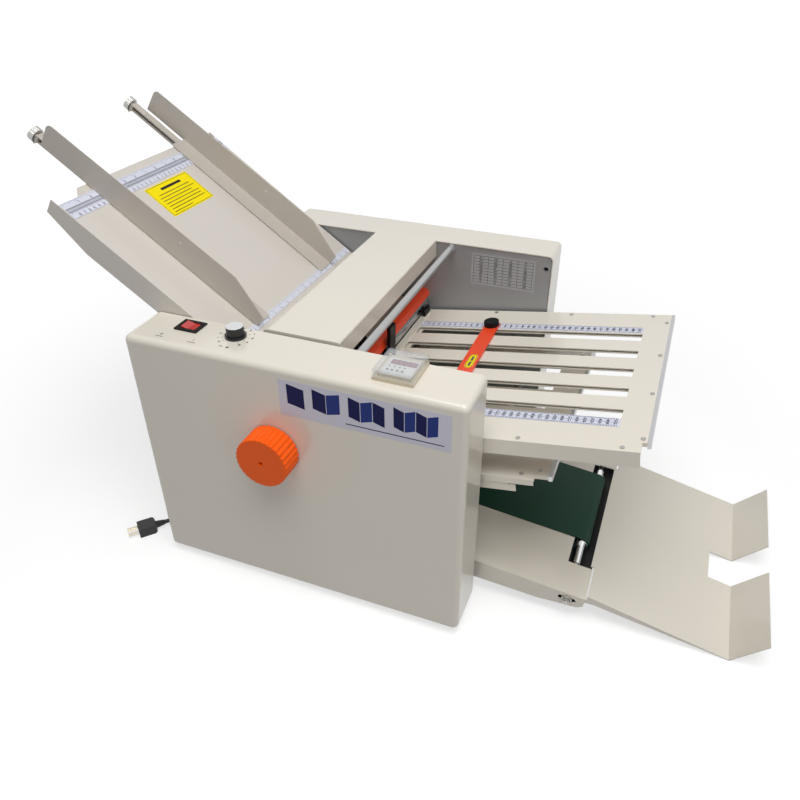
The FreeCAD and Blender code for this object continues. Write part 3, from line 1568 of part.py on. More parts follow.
# Motor and pulleys
def drive_motor():
    """Motor with its flange on the rear side plate's inner face."""
    x = motor_x
    z = low + motor_height
    y1 = rear_plate_face
    flange = rod_y(x, z, motor_flange_radius, y1 - motor_flange_thickness, y1)
    body = rod_y(x, z, motor_radius, y1 - motor_length, y1 - motor_flange_thickness)
    bore = rod_y(x, z, motor_shaft_radius + running_gap, y1 - motor_length / 2, y1 + overrun)
    return cut(join([flange, body]), [bore])


def motor_pulley():
    """Motor shaft and its pulley as one piece."""
    x = motor_x
    z = low + motor_height
    shaft = rod_y(x, z, motor_shaft_radius, rear_plate_face - motor_length / 2 + running_gap,
                  pulley_y + pulley_width)
    return join([shaft, pulley((x, z), motor_pulley_radius, pulley_width, pulley_y, 0)])


def driven_pulley():
    """Large pulley on the fourth roller's rear journal."""
    return pulley(fold_centres[3], driven_pulley_radius, pulley_width, pulley_y, journal_radius + fit_gap)


# Switch, speed dial and counter
def switch_bezel():
    """Bezel on the cover with the switch body hanging in the cover's opening."""
    top = cover_top + switch_bezel_height
    half_x = switch_opening_length / 2
    half_y = switch_opening_width / 2
    wall = switch_body_wall
    plate = box(switch_x - switch_length / 2, switch_x + switch_length / 2,
                switch_y - switch_width / 2, switch_y + switch_width / 2, cover_top, top)
    body = box(switch_x - half_x - wall, switch_x + half_x + wall,
               switch_y - half_y - wall, switch_y + half_y + wall, cover_top - switch_body_depth, cover_top)
    opening = box(switch_x - half_x, switch_x + half_x, switch_y - half_y, switch_y + half_y,
                  cover_top - switch_body_depth + wall, top + overrun)
    reach = half_y + rocker_pin_length - rocker_gap + running_gap
    bore = rod_y(switch_x, cover_top - rocker_pivot_drop, rocker_pin_radius + running_gap,
                 switch_y - reach, switch_y + reach)
    return cut(join([plate, body]), [opening, bore])


def rocker():
    """Rocker with its shallow V top and a pivot pin each side, resting tilted."""
    reach = switch_opening_length / 2 - rocker_gap
    half_y = switch_opening_width / 2 - rocker_gap
    top = rocker_top_height
    bottom = -rocker_bottom_depth
    outline = [(-rocker_top_half, top), (0, top - rocker_dip), (rocker_top_half, top), (reach, 0),
               (rocker_bottom_half, bottom), (-rocker_bottom_half, bottom), (-reach, 0)]
    body = prism_y(outline, switch_y - half_y, switch_y + half_y)
    pin = rod_y(0, 0, rocker_pin_radius, switch_y - half_y - rocker_pin_length,
                switch_y + half_y + rocker_pin_length)
    return tilt(join([body, pin]), rocker_rest_deg, switch_x, cover_top - rocker_pivot_drop)


def speed_dial():
    """Fluted dial on a plain skirt, with a round cap and its shaft down through the cover."""
    base = cover_top + seat_gap
    skirt = rod_z(dial_x, dial_y, dial_skirt_radius, base, base + dial_skirt_height)
    outline = fluted_outline(dial_radius, dial_flutes, dial_flute_depth, flute_steps)
    barrel = prism_z([(dial_x + a, dial_y + b) for a, b in outline],
                     base + dial_skirt_height, cover_top + dial_height)
    cap = rod_z(dial_x, dial_y, dial_cap_radius, cover_top + dial_height,
                cover_top + dial_height + dial_cap_height)
    shaft = rod_z(dial_x, dial_y, dial_shaft_radius, cover_top - cover_wall - dial_shaft_depth, base)
    return join([skirt, barrel, cap, shaft])


def counter_axis():
    """Hinge line of the counter's lid as (y, z)."""
    return (counter_front + counter_width - counter_hinge_from_rear - counter_hinge_radius,
            cover_top + counter_base_height + seat_gap + counter_hinge_radius)


def counter_base():
    """Counter base with its raised face, the body below the cover and two hinge ears."""
    x0 = counter_left
    x1 = counter_left + counter_length
    y0 = counter_front
    y1 = counter_front + counter_width
    top = cover_top + counter_base_height
    plate = box(x0, x1, y0, y1, cover_top, top)
    body = box(x0 + counter_body_inset, x1 - counter_body_inset, y0 + counter_body_inset,
               y1 - 2 * counter_body_inset, cover_top - counter_body_depth, cover_top)
    face = box(x0 + counter_face_inset, x1 - counter_face_inset, y0 + counter_face_inset,
               y1 - 2 * counter_face_inset, top, top + counter_face_height)
    y, z = counter_axis()
    ear_gap = counter_lid_inset + counter_lid_wall + seat_gap
    pieces = [plate, body, face]
    for inner, outer in ((x0 + ear_gap + counter_ear_thickness, x0 + ear_gap - counter_lid_wall),
                         (x1 - ear_gap - counter_ear_thickness, x1 - ear_gap + counter_lid_wall)):
        toward = 1 if inner > outer else -1
        ear_outer = inner - toward * counter_ear_thickness
        pieces.append(box(min(inner, ear_outer), max(inner, ear_outer), y - counter_hinge_radius, y,
                          top, z + counter_ear_rise))
        pieces.append(rod_x(y, z, counter_hinge_pin_radius, min(inner, outer), max(inner, outer)))
    return join(pieces)


def counter_lid():
    """Clear lid: a shallow box whose rear corners are rounded about the hinge line."""
    y_axis, z_axis = counter_axis()
    x0 = counter_left + counter_lid_inset
    x1 = counter_left + counter_length - counter_lid_inset
    y0 = counter_front + counter_lid_inset
    y1 = y_axis + counter_hinge_radius
    bottom = cover_top + counter_base_height + seat_gap
    top = cover_top + counter_height
    wall = counter_lid_wall
    radius = counter_hinge_radius
    shell = box(x0, x1, y0, y_axis, bottom, top)
    shell = join([shell, box(x0, x1, y_axis, y1, z_axis, top), rod_x(y_axis, z_axis, radius, x0, x1)])
    hollow = box(x0 + wall, x1 - wall, y0 + wall, y1 - wall, bottom - overrun, top - wall)
    rear_gap = box(x0 + wall, x1 - wall, y_axis - radius, y1 + overrun,
                   bottom - overrun, z_axis + counter_lid_rear_lift)
    holes = rod_x(y_axis, z_axis, counter_hinge_pin_radius + running_gap, x0 - overrun, x1 + overrun)
    return cut(shell, [hollow, rear_gap, holes])


def control_board():
    """Circuit board on standoffs inside the front cover, and the dial's potentiometer."""
    plate_y = front_plate_face - plate_thickness
    y1 = plate_y - board_from_plate
    y0 = y1 - board_thickness
    z0 = low + board_low
    x1 = board_left + board_length
    pieces = [box(board_left, x1, y0, y1, z0, z0 + board_height)]
    inset = board_standoff_inset
    for x in (board_left + inset, x1 - inset):
        for z in (z0 + inset, z0 + board_height - inset):
            pieces.append(rod_y(x, z, board_standoff_radius, y1, plate_y))
    spare = (board_length - chip_count * chip_length) / (chip_count + 1)
    for index in range(chip_count):
        x = board_left + spare + index * (chip_length + spare)
        middle = z0 + board_height / 2
        pieces.append(box(x, x + chip_length, y0 - chip_depth, y0,
                          middle - chip_height / 2, middle + chip_height / 2))
    top = cover_top - cover_wall
    pot = rod_z(dial_x, dial_y, pot_radius, top - pot_depth, top)
    bore = rod_z(dial_x, dial_y, dial_shaft_radius + running_gap,
                 top - dial_shaft_depth - running_gap, top + overrun)
    return group([join(pieces), pot.cut(bore)])


# Mains cord
def cord_gland():
    """Cord gland in the rear cover: nut, tapered strain relief, neck and inner nut."""
    y = gland_y
    z = low + gland_height
    nut = rod_x(y, z, gland_nut_radius, -gland_nut_length, 0)
    relief = Part.makeCone(gland_tip_radius, gland_neck_radius, gland_length - gland_nut_length,
                           Vec(-gland_length, y, z), AXIS_X)
    neck = rod_x(y, z, gland_neck_radius, 0, cover_wall)
    inner = rod_x(y, z, gland_nut_radius, cover_wall, cover_wall + gland_inner_length)
    return join([relief, nut, neck, inner])


def tube(name, points):
    """Cord of even section: straight runs joined by tangent arcs as large as the runs allow."""
    points = [Vec(*point) for point in points]
    edges = []
    radii = []
    start = points[0]
    for before, corner, after in zip(points, points[1:], points[2:]):
        arriving = corner.sub(before)
        leaving = after.sub(corner)
        half_turn = arriving.getAngle(leaving) / 2
        reach = arc_share * min(arriving.Length, leaving.Length)
        arriving.normalize()
        leaving.normalize()
        radius = reach / math.tan(half_turn)
        radii.append(round(radius))
        first = corner - arriving * reach
        last = corner + leaving * reach
        inward = (leaving - arriving).normalize()
        middle = corner + inward * (radius / math.cos(half_turn) - radius)
        edges.append(Part.LineSegment(start, first).toShape())
        edges.append(Part.Arc(first, middle, last).toShape())
        start = last
    edges.append(Part.LineSegment(start, points[-1]).toShape())
    return sweep(name, edges, points[0], points[1].sub(points[0]), radii)


def sweep(name, edges, start, way, radii):
    """Round section carried along the edges; prints the radii, length and volume check."""
    path = Part.Wire(edges)
    section = Part.Wire([Part.Circle(start, way, cord_radius).toShape()])
    solid = path.makePipeShell([section], True, False)
    plain = math.pi * cord_radius ** 2 * path.Length
    share = round(solid.Volume / plain, 4)
    print(name, "radii", radii, "length", round(path.Length, 1), "volume share", share)
    return solid


def coil_point(turn):
    """Centre line of the coil: inwards on the floor, up in the middle half turn, outwards above."""
    middle = coil_turns / 2
    outer = coil_mean_radius + coil_pitch * middle / 2
    radius = outer - coil_pitch * (middle - abs(turn - middle))
    climb = min(max((turn - middle) * 2 + 1 / 2, 0), 1)
    height = cord_radius + coil_floor_gap + coil_pitch * (1 - math.cos(math.pi * climb)) / 2
    angle = -2 * math.pi * turn
    return Vec(coil_centre_x + radius * math.cos(angle), coil_centre_y + radius * math.sin(angle), height)


def coil_way(turn):
    """Unit direction of the coil's centre line."""
    if turn == 0 or turn == coil_turns:
        return Vec(0, -1, 0)
    step = 1 / coil_gap_steps
    return coil_point(turn + step).sub(coil_point(turn - step)).normalize()


def biarc(start, start_way, end, end_way):
    """Two arcs in space that leave one point and reach another in given directions."""
    chord = end.sub(start)
    ways = start_way.add(end_way)
    spread = 2 * (1 - start_way.dot(end_way))
    across = chord.dot(ways)
    reach = (-across + math.sqrt(across ** 2 + spread * chord.dot(chord))) / spread
    joint = (start.add(end) + (start_way.sub(end_way)) * reach) * (1 / 2)
    arcs = []
    for first, last, corner in ((start, joint, start.add(start_way * reach)),
                                (joint, end, end.sub(end_way * reach))):
        middle = first.add(last) * (1 / 2)
        half = last.sub(first).Length / 2
        turn = math.acos(min(half / reach, 1))
        rise = corner.sub(middle).normalize() * (half * math.tan(turn / 2))
        arcs.append(Part.Arc(first, middle.add(rise), last).toShape())
    return arcs


def coil_self_gap():
    """Least gap between two turns, measured on points along the centre line."""
    count = int(coil_turns * coil_gap_steps)
    points = [coil_point(index / coil_gap_steps) for index in range(count + 1)]
    least = coil_mean_radius
    for index, point in enumerate(points):
        for other in points[index + int(coil_gap_steps / 2):]:
            least = min(least, point.sub(other).Length - 2 * cord_radius)
    return least


def coil_start():
    """Where the coil begins, before its first turn."""
    return coil_point(0).add(Vec(0, coil_end_length, 0))


def coil_end():
    """Where the coil ends, past its last turn."""
    return coil_point(coil_turns).sub(Vec(0, coil_end_length, 0))


def cord_coil():
    """Put-away length of the cord: one unbroken tube in two layers."""
    quarters = int(coil_turns * 4)
    edges = [Part.LineSegment(coil_start(), coil_point(0)).toShape()]
    for index in range(quarters):
        here = index / 4
        there = (index + 1) / 4
        edges.extend(biarc(coil_point(here), coil_way(here), coil_point(there), coil_way(there)))
    edges.append(Part.LineSegment(coil_point(coil_turns), coil_end()).toShape())
    print("cord_coil least gap to itself", round(coil_self_gap(), 2))
    inner = coil_mean_radius - coil_pitch * coil_turns / 4
    return sweep("cord_coil", edges, coil_start(), coil_way(0), [round(inner)])


def gland_tip():
    """Point where the cord leaves its gland."""
    return -gland_length, gland_y, low + gland_height


def plug_rear():
    """Point where the cord enters the plug's relief."""
    return plug_rear_x, plug_rear_y, plug_body_height / 2


def cord_lead_in():
    """Cord from the gland down to the floor and along to the coil."""
    return tube("cord_lead_in", [gland_tip()] + lead_in_points + [tuple(coil_start())])


def cord_lead_out():
    """Cord from the top of the coil down to the floor and along to the plug."""
    return tube("cord_lead_out", [tuple(coil_end())] + lead_out_points + [plug_rear()])


def cord_plug():
    """Plug lying on the floor: relief, rounded body, two flat blades and the earth pin."""
    relief = Part.makeCone(plug_relief_rear_radius, plug_relief_front_radius, plug_relief_length,
                           Vec(0, 0, 0), AXIS_X)
    x0 = plug_relief_length
    x1 = plug_relief_length + plug_body_length
    half = plug_body_width / 2
    body = box(x0, x1, -half, half, -plug_body_height / 2, plug_body_height / 2)
    body = fillet_where(body, plug_body_round, lambda point: near(point.x, x0))
    pieces = [relief, body]
    for side in (-1, 1):
        y = side * blade_spacing / 2
        pieces.append(box(x1 - pin_root, x1 + pin_length, y - blade_thickness / 2, y + blade_thickness / 2,
                          blade_rise - blade_width / 2, blade_rise + blade_width / 2))
    pieces.append(rod_x(0, -earth_pin_drop, earth_pin_radius, x1 - pin_root, x1 + pin_length))
    plug = join(pieces)
    plug.rotate(Vec(0, 0, 0), AXIS_Z, plug_turn_deg)
    plug.translate(Vec(*plug_rear()))
    return plug


# Nodes
def object_nodes():
    """Every node of the machine without its cord."""
    nodes = {
        "front_cover": front_cover(), "rear_cover": rear_cover(),
        "front_side_plate": front_side_plate(), "rear_side_plate": rear_side_plate(),
        "base_plate": base_plate(), "tie_rods": tie_rods(), "rubber_feet": rubber_feet(),
        "hood": hood(), "feed_tray": feed_tray(), "scale_strips": scale_strips(),
        "separator_bracket": separator_bracket(), "separator_pad": separator_pad(),
        "roller_guard": roller_guard(), "plate_latches": plate_latches(),
        "upper_top_sheet": upper_top_sheet(), "upper_bottom_sheet": upper_bottom_sheet(),
        "plate_screws": plate_screws(), "plate_end_bars": plate_end_bars(),
        "left_fold_plates": left_fold_plates(), "lower_top_sheet": lower_top_sheet(),
        "lower_bottom_sheet": lower_bottom_sheet(), "stop_bar": stop_bar(),
        "conveyor_frame": conveyor_frame(), "end_axle": end_axle(), "conveyor_belt": conveyor_belt(),
        "conveyor_drive_roller": conveyor_drive_roller(), "conveyor_end_roller": conveyor_end_roller(),
        "receiving_tray": receiving_tray(), "shaft_bearings": shaft_bearings(),
        "drive_motor": drive_motor(), "motor_pulley": motor_pulley(), "driven_pulley": driven_pulley(),
        "drive_belts": drive_belts(), "hand_knob": hand_knob(), "feed_shaft": feed_shaft(),
        "feed_wheel": feed_wheel(), "feed_gear": feed_gear(), "control_board": control_board(),
        "switch_bezel": switch_bezel(), "rocker": rocker(), "speed_dial": speed_dial(),
        "counter_base": counter_base(), "counter_lid": counter_lid()}
    for index in range(len(fold_centres)):
        nodes["fold_roller_" + str(index + 1)] = fold_roller(index)
    for name, side in (("front", -1), ("rear", 1)):
        nodes["side_guide_" + name] = side_guide(side)
        nodes["guide_screw_" + name] = guide_screw(side)
        nodes["stop_knob_" + name] = stop_knob(side)
    return nodes


def cord_nodes():
    """The mains cord and what is on it."""
    return {"cord_gland": cord_gland(), "cord_lead_in": cord_lead_in(), "cord_coil": cord_coil(),
            "cord_lead_out": cord_lead_out(), "cord_plug": cord_plug()}


def all_nodes():
    """Every node, moved so that the origin is under the middle of the machine on the floor."""
    nodes = object_nodes()
    bounds = Part.makeCompound(list(nodes.values())).BoundBox
    shift = Vec(-(bounds.XMin + bounds.XMax) / 2, -(bounds.YMin + bounds.YMax) / 2, -bounds.ZMin)
    nodes.update(cord_nodes())
    for shape in nodes.values():
        shape.translate(shift)
    print("origin shift", round(shift.x, 2), round(shift.y, 2), round(shift.z, 2))
    return nodes


os.makedirs("parts", exist_ok=True)
for name, shape in all_nodes().items():
    shape.exportStep("parts/" + name + ".step")
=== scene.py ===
import bpy
import math
import numpy as np
from mathutils import Matrix, Vector


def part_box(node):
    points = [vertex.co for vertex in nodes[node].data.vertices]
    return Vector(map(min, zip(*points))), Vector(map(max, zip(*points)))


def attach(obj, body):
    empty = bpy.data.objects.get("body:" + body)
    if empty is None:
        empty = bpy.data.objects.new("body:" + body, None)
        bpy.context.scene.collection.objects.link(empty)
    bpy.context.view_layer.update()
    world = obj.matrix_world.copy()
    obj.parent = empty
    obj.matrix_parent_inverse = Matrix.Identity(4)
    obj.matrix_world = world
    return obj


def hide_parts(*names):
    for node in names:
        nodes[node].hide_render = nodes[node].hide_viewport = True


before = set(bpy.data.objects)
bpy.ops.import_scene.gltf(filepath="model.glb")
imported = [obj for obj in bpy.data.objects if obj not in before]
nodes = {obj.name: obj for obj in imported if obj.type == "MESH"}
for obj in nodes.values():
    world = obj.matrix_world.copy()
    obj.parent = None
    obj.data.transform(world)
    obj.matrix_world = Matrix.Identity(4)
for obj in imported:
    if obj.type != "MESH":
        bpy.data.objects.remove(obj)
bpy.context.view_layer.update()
coverLow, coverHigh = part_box("front_cover")
print("frame loaded:", len(nodes), "nodes")


# Places below are in mm in the maker's own frame: x from the covers' left end,
# y from the front cover's face, z from the floor.
def place(points):
    grid = np.asarray(points, dtype=float) / 1000
    return grid + np.array([coverLow[0], coverLow[1], 0.0])


cameraFacts = {"place": (688.66, -693.55, 899.71), "azimuth": 21.7114, "elevation": 33.7836,
               "roll": -0.3586, "lens": 33.317, "sensor": 36.0}


# The camera looks along its azimuth and elevation, then rolls about its own line of sight.
def addCamera(facts):
    azimuth = math.radians(facts["azimuth"])
    elevation = math.radians(facts["elevation"])
    roll = math.radians(facts["roll"])
    back = Vector((math.sin(azimuth) * math.cos(elevation), -math.cos(azimuth) * math.cos(elevation),
                   math.sin(elevation)))
    right = (-back).cross(Vector((0, 0, 1))).normalized()
    up = right.cross(-back)
    side = right * math.cos(roll) + up * math.sin(roll)
    top = up * math.cos(roll) - right * math.sin(roll)
    turn = Matrix((side, top, back)).transposed()
    data = bpy.data.cameras.new("photoCamera")
    data.lens = facts["lens"]
    data.sensor_width = facts["sensor"]
    camera = bpy.data.objects.new("photoCamera", data)
    camera.matrix_world = Matrix.Translation(Vector(place(facts["place"]))) @ turn.to_4x4()
    bpy.context.scene.collection.objects.link(camera)
    bpy.context.scene.camera = camera


addCamera(cameraFacts)
print("camera set")


# A node with its settings.
def addNode(tree, kind, **settings):
    node = tree.nodes.new(kind)
    for name, value in settings.items():
        setattr(node, name, value)
    return node


# Two or three inputs through one Math node; numbers are typed in, sockets are linked.
def calc(tree, operation, *values):
    node = addNode(tree, "ShaderNodeMath", operation=operation)
    for index, value in enumerate(values):
        if isinstance(value, (int, float)):
            node.inputs[index].default_value = value
        else:
            tree.links.new(value, node.inputs[index])
    return node.outputs[0]


# Each lamp has its name, its place, its side in metres and its power.
stageFacts = {"floorHalf": 12.0, "floorWhite": 0.5, "bounceGrey": 0.42, "glowNear": 0.64, "glowFar": 0.96,
              "glowReach": (0.7, 2.2), "skyLevel": 0.252, "lampAim": (330, 280, 200),
              "lamps": (("keyLamp", (700, -380, 2340), 1.6, 38), ("fillLamp", (1500, -900, 900), 1.0, 2))}


# One where a ray comes from the camera, a mirror or glass; nought for bounced light.
def plainViewRays(tree):
    path = addNode(tree, "ShaderNodeLightPath")
    mirrored = calc(tree, "MAXIMUM", path.outputs["Is Camera Ray"], path.outputs["Is Glossy Ray"])
    return calc(tree, "MAXIMUM", mirrored, path.outputs["Is Transmission Ray"])


# A floor as one flat square. Camera, mirror and glass rays see it lighter than bounced light does, by a glow
# that grows with the distance from the machine, so that the soft shadow stays and the far floor is white.
def addFloor(facts):
    half = facts["floorHalf"]
    mesh = bpy.data.meshes.new("studioFloor")
    mesh.from_pydata([(-half, -half, 0), (half, -half, 0), (half, half, 0), (-half, half, 0)], [], [(0, 1, 2, 3)])
    floor = bpy.data.objects.new("studioFloor", mesh)
    bpy.context.scene.collection.objects.link(floor)
    material = bpy.data.materials.new("studioFloor")
    material.use_nodes = True
    tree = material.node_tree
    tree.nodes.clear()
    output = addNode(tree, "ShaderNodeOutputMaterial")
    seen = addNode(tree, "ShaderNodeBsdfDiffuse")
    seen.inputs["Color"].default_value = (facts["floorWhite"],) * 3 + (1,)
    bounce = addNode(tree, "ShaderNodeBsdfDiffuse")
    bounce.inputs["Color"].default_value = (facts["bounceGrey"],) * 3 + (1,)
    spot = addNode(tree, "ShaderNodeTexCoord")
    far = addNode(tree, "ShaderNodeVectorMath", operation="LENGTH")
    tree.links.new(spot.outputs["Object"], far.inputs[0])
    rise = addNode(tree, "ShaderNodeMapRange")
    rise.inputs["From Min"].default_value, rise.inputs["From Max"].default_value = facts["glowReach"]
    rise.inputs["To Min"].default_value = facts["glowNear"]
    rise.inputs["To Max"].default_value = facts["glowFar"]
    tree.links.new(far.outputs["Value"], rise.inputs["Value"])
    glow = addNode(tree, "ShaderNodeEmission")
    tree.links.new(rise.outputs["Result"], glow.inputs["Strength"])
    both = addNode(tree, "ShaderNodeAddShader")
    tree.links.new(seen.outputs[0], both.inputs[0])
    tree.links.new(glow.outputs[0], both.inputs[1])
    pick = addNode(tree, "ShaderNodeMixShader")
    tree.links.new(plainViewRays(tree), pick.inputs[0])
    tree.links.new(bounce.outputs[0], pick.inputs[1])
    tree.links.new(both.outputs[0], pick.inputs[2])
    tree.links.new(pick.outputs[0], output.inputs[0])
    mesh.materials.append(material)


# The world is white to the camera, in mirrors and through glass, and a soft even grey light on
# everything else.
def addWorld(facts):
    world = bpy.data.worlds.new("softSky")
    world.use_nodes = True
    tree = world.node_tree
    tree.nodes.clear()
    output = addNode(tree, "ShaderNodeOutputWorld")
    white = addNode(tree, "ShaderNodeBackground")
    white.inputs["Color"].default_value = (1, 1, 1, 1)
    soft = addNode(tree, "ShaderNodeBackground")
    soft.inputs["Strength"].default_value = facts["skyLevel"]
    pick = addNode(tree, "ShaderNodeMixShader")
    tree.links.new(plainViewRays(tree), pick.inputs[0])
    tree.links.new(soft.outputs[0], pick.inputs[1])
    tree.links.new(white.outputs[0], pick.inputs[2])
    tree.links.new(pick.outputs[0], output.inputs[0])
    bpy.context.scene.world = world


# A square lamp that faces the middle of the machine.
def addLamp(name, spot, size, power, target):
    data = bpy.data.lights.new(name, "AREA")
    data.size = size
    data.energy = power
    lamp = bpy.data.objects.new(name, data)
    where = Vector(place(spot))
    aim = Vector(place(target)) - where
    lamp.matrix_world = Matrix.Translation(where) @ aim.to_track_quat("-Z", "Y").to_matrix().to_4x4()
    bpy.context.scene.collection.objects.link(lamp)


addFloor(stageFacts)
addWorld(stageFacts)
for lampName, lampPlace, lampSize, lampPower in stageFacts["lamps"]:
    addLamp(lampName, lampPlace, lampSize, lampPower, stageFacts["lampAim"])
bpy.context.scene.view_settings.view_transform = "Standard"
print("floor, world and lamps set")


# Shared shader groups: each puts out colours, masks or values only.
def newGroup(name, inputs, outputs):
    group = bpy.data.node_groups.new(name, "ShaderNodeTree")
    for title, kind, value in inputs:
        socket = group.interface.new_socket(name=title, in_out="INPUT", socket_type=kind)
        socket.default_value = value
    for title, kind in outputs:
        group.interface.new_socket(name=title, in_out="OUTPUT", socket_type=kind)
    return group, group.nodes.new("NodeGroupInput"), group.nodes.new("NodeGroupOutput")


# Small numbers that every painted or moulded finish shares, and those of every brushed one.
filmFacts = {"peelDetail": 1.0, "cloudScale": 7.0, "cloudDetail": 4.0, "dustScale": 60.0, "dustSize": 0.045,
             "dustShade": 0.03, "roughSpread": 1.2, "bump": 0.4, "coatRoughness": 0.08}
brushFacts = {"detail": 3.0, "bump": 0.3}


# Paint film: a fine orange-peel height, faint cloudy tone and sparse dust specks.
def makePaintFilm():
    group, entry, leave = newGroup("paintFilm", [("Place", "NodeSocketVector", (0, 0, 0)),
                                                 ("Tone", "NodeSocketColor", (0.8, 0.8, 0.8, 1)),
                                                 ("Cloud", "NodeSocketFloat", 0.05),
                                                 ("Peel", "NodeSocketFloat", 900.0),
                                                 ("Base Roughness", "NodeSocketFloat", 0.3)],
                                   [("Colour", "NodeSocketColor"), ("Roughness", "NodeSocketFloat"),
                                    ("Height", "NodeSocketFloat")])
    peel = addNode(group, "ShaderNodeTexNoise")
    peel.inputs["Detail"].default_value = filmFacts["peelDetail"]
    group.links.new(entry.outputs["Place"], peel.inputs["Vector"])
    group.links.new(entry.outputs["Peel"], peel.inputs["Scale"])
    cloud = addNode(group, "ShaderNodeTexNoise")
    cloud.inputs["Scale"].default_value = filmFacts["cloudScale"]
    cloud.inputs["Detail"].default_value = filmFacts["cloudDetail"]
    group.links.new(entry.outputs["Place"], cloud.inputs["Vector"])
    speck = addNode(group, "ShaderNodeTexVoronoi")
    speck.inputs["Scale"].default_value = filmFacts["dustScale"]
    group.links.new(entry.outputs["Place"], speck.inputs["Vector"])
    dust = calc(group, "LESS_THAN", speck.outputs["Distance"], filmFacts["dustSize"])
    spread = calc(group, "MULTIPLY", calc(group, "SUBTRACT", cloud.outputs["Fac"], 0.5), entry.outputs["Cloud"])
    dusty = calc(group, "MULTIPLY", dust, filmFacts["dustShade"])
    level = calc(group, "SUBTRACT", calc(group, "ADD", spread, 1.0), dusty)
    shade = addNode(group, "ShaderNodeMix", data_type="RGBA", blend_type="MULTIPLY")
    shade.inputs[0].default_value = 1.0
    group.links.new(entry.outputs["Tone"], shade.inputs[6])
    group.links.new(level, shade.inputs[7])
    group.links.new(shade.outputs[2], leave.inputs["Colour"])
    uneven = calc(group, "MULTIPLY", spread, filmFacts["roughSpread"])
    rough = calc(group, "ADD", entry.outputs["Base Roughness"], uneven)
    group.links.new(rough, leave.inputs["Roughness"])
    group.links.new(peel.outputs["Fac"], leave.inputs["Height"])
    return group


# Brushed metal: noise drawn out along one axis for tone, roughness and height.
def makeBrushing():
    group, entry, leave = newGroup("brushing", [("Place", "NodeSocketVector", (0, 0, 0)),
                                                ("Stretch", "NodeSocketVector", (1, 1, 1)),
                                                ("Tone", "NodeSocketColor", (0.6, 0.6, 0.6, 1)),
                                                ("Contrast", "NodeSocketFloat", 0.15),
                                                ("Base Roughness", "NodeSocketFloat", 0.3)],
                                   [("Colour", "NodeSocketColor"), ("Roughness", "NodeSocketFloat"),
                                    ("Height", "NodeSocketFloat")])
    drawn = addNode(group, "ShaderNodeVectorMath", operation="MULTIPLY")
    group.links.new(entry.outputs["Place"], drawn.inputs[0])
    group.links.new(entry.outputs["Stretch"], drawn.inputs[1])
    lines = addNode(group, "ShaderNodeTexNoise")
    lines.inputs["Scale"].default_value = 1.0
    lines.inputs["Detail"].default_value = brushFacts["detail"]
    group.links.new(drawn.outputs[0], lines.inputs["Vector"])
    swing = calc(group, "MULTIPLY", calc(group, "SUBTRACT", lines.outputs["Fac"], 0.5), entry.outputs["Contrast"])
    shade = addNode(group, "ShaderNodeMix", data_type="RGBA", blend_type="MULTIPLY")
    shade.inputs[0].default_value = 1.0
    group.links.new(entry.outputs["Tone"], shade.inputs[6])
    group.links.new(calc(group, "ADD", swing, 1.0), shade.inputs[7])
    group.links.new(shade.outputs[2], leave.inputs["Colour"])
    group.links.new(calc(group, "ADD", entry.outputs["Base Roughness"], swing), leave.inputs["Roughness"])
    group.links.new(lines.outputs["Fac"], leave.inputs["Height"])
    return group


paintFilm = makePaintFilm()
brushing = makeBrushing()


# A material with its Principled shader and the object's own coordinates.
def startMaterial(name):
    material = bpy.data.materials.new(name)
    material.use_nodes = True
    tree = material.node_tree
    shader = tree.nodes["Principled BSDF"]
    spot = addNode(tree, "ShaderNodeTexCoord")
    return material, tree, shader, spot.outputs["Object"]


def linkBump(tree, shader, height, distance, strength):
    bump = addNode(tree, "ShaderNodeBump")
    bump.inputs["Distance"].default_value = distance
    bump.inputs["Strength"].default_value = strength
    tree.links.new(height, bump.inputs["Height"])
    tree.links.new(bump.outputs[0], shader.inputs["Normal"])


# Stoved paint or moulded plastic in one tone, under the paint film group.
def filmMaterial(name, tone, roughness=0.3, cloud=0.05, peel=900.0, depth=0.00002, coat=0.0, gloss=0.5):
    material, tree, shader, spot = startMaterial(name)
    film = addNode(tree, "ShaderNodeGroup", node_tree=paintFilm)
    tree.links.new(spot, film.inputs["Place"])
    film.inputs["Tone"].default_value = tuple(tone) + (1,)
    film.inputs["Cloud"].default_value = cloud
    film.inputs["Peel"].default_value = peel
    film.inputs["Base Roughness"].default_value = roughness
    tree.links.new(film.outputs["Colour"], shader.inputs["Base Color"])
    tree.links.new(film.outputs["Roughness"], shader.inputs["Roughness"])
    linkBump(tree, shader, film.outputs["Height"], depth, filmFacts["bump"])
    shader.inputs["Coat Weight"].default_value = coat
    shader.inputs["Coat Roughness"].default_value = filmFacts["coatRoughness"]
    shader.inputs["Specular IOR Level"].default_value = gloss
    return material


# Bare metal with brushing drawn out along the axis of the smallest stretch number.
def metalMaterial(name, tone, stretch, roughness=0.3, contrast=0.15, depth=0.00001, metal=1.0):
    material, tree, shader, spot = startMaterial(name)
    lines = addNode(tree, "ShaderNodeGroup", node_tree=brushing)
    tree.links.new(spot, lines.inputs["Place"])
    lines.inputs["Stretch"].default_value = stretch
    lines.inputs["Tone"].default_value = tuple(tone) + (1,)
    lines.inputs["Contrast"].default_value = contrast
    lines.inputs["Base Roughness"].default_value = roughness
    tree.links.new(lines.outputs["Colour"], shader.inputs["Base Color"])
    tree.links.new(lines.outputs["Roughness"], shader.inputs["Roughness"])
    linkBump(tree, shader, lines.outputs["Height"], depth, brushFacts["bump"])
    shader.inputs["Metallic"].default_value = metal
    return material


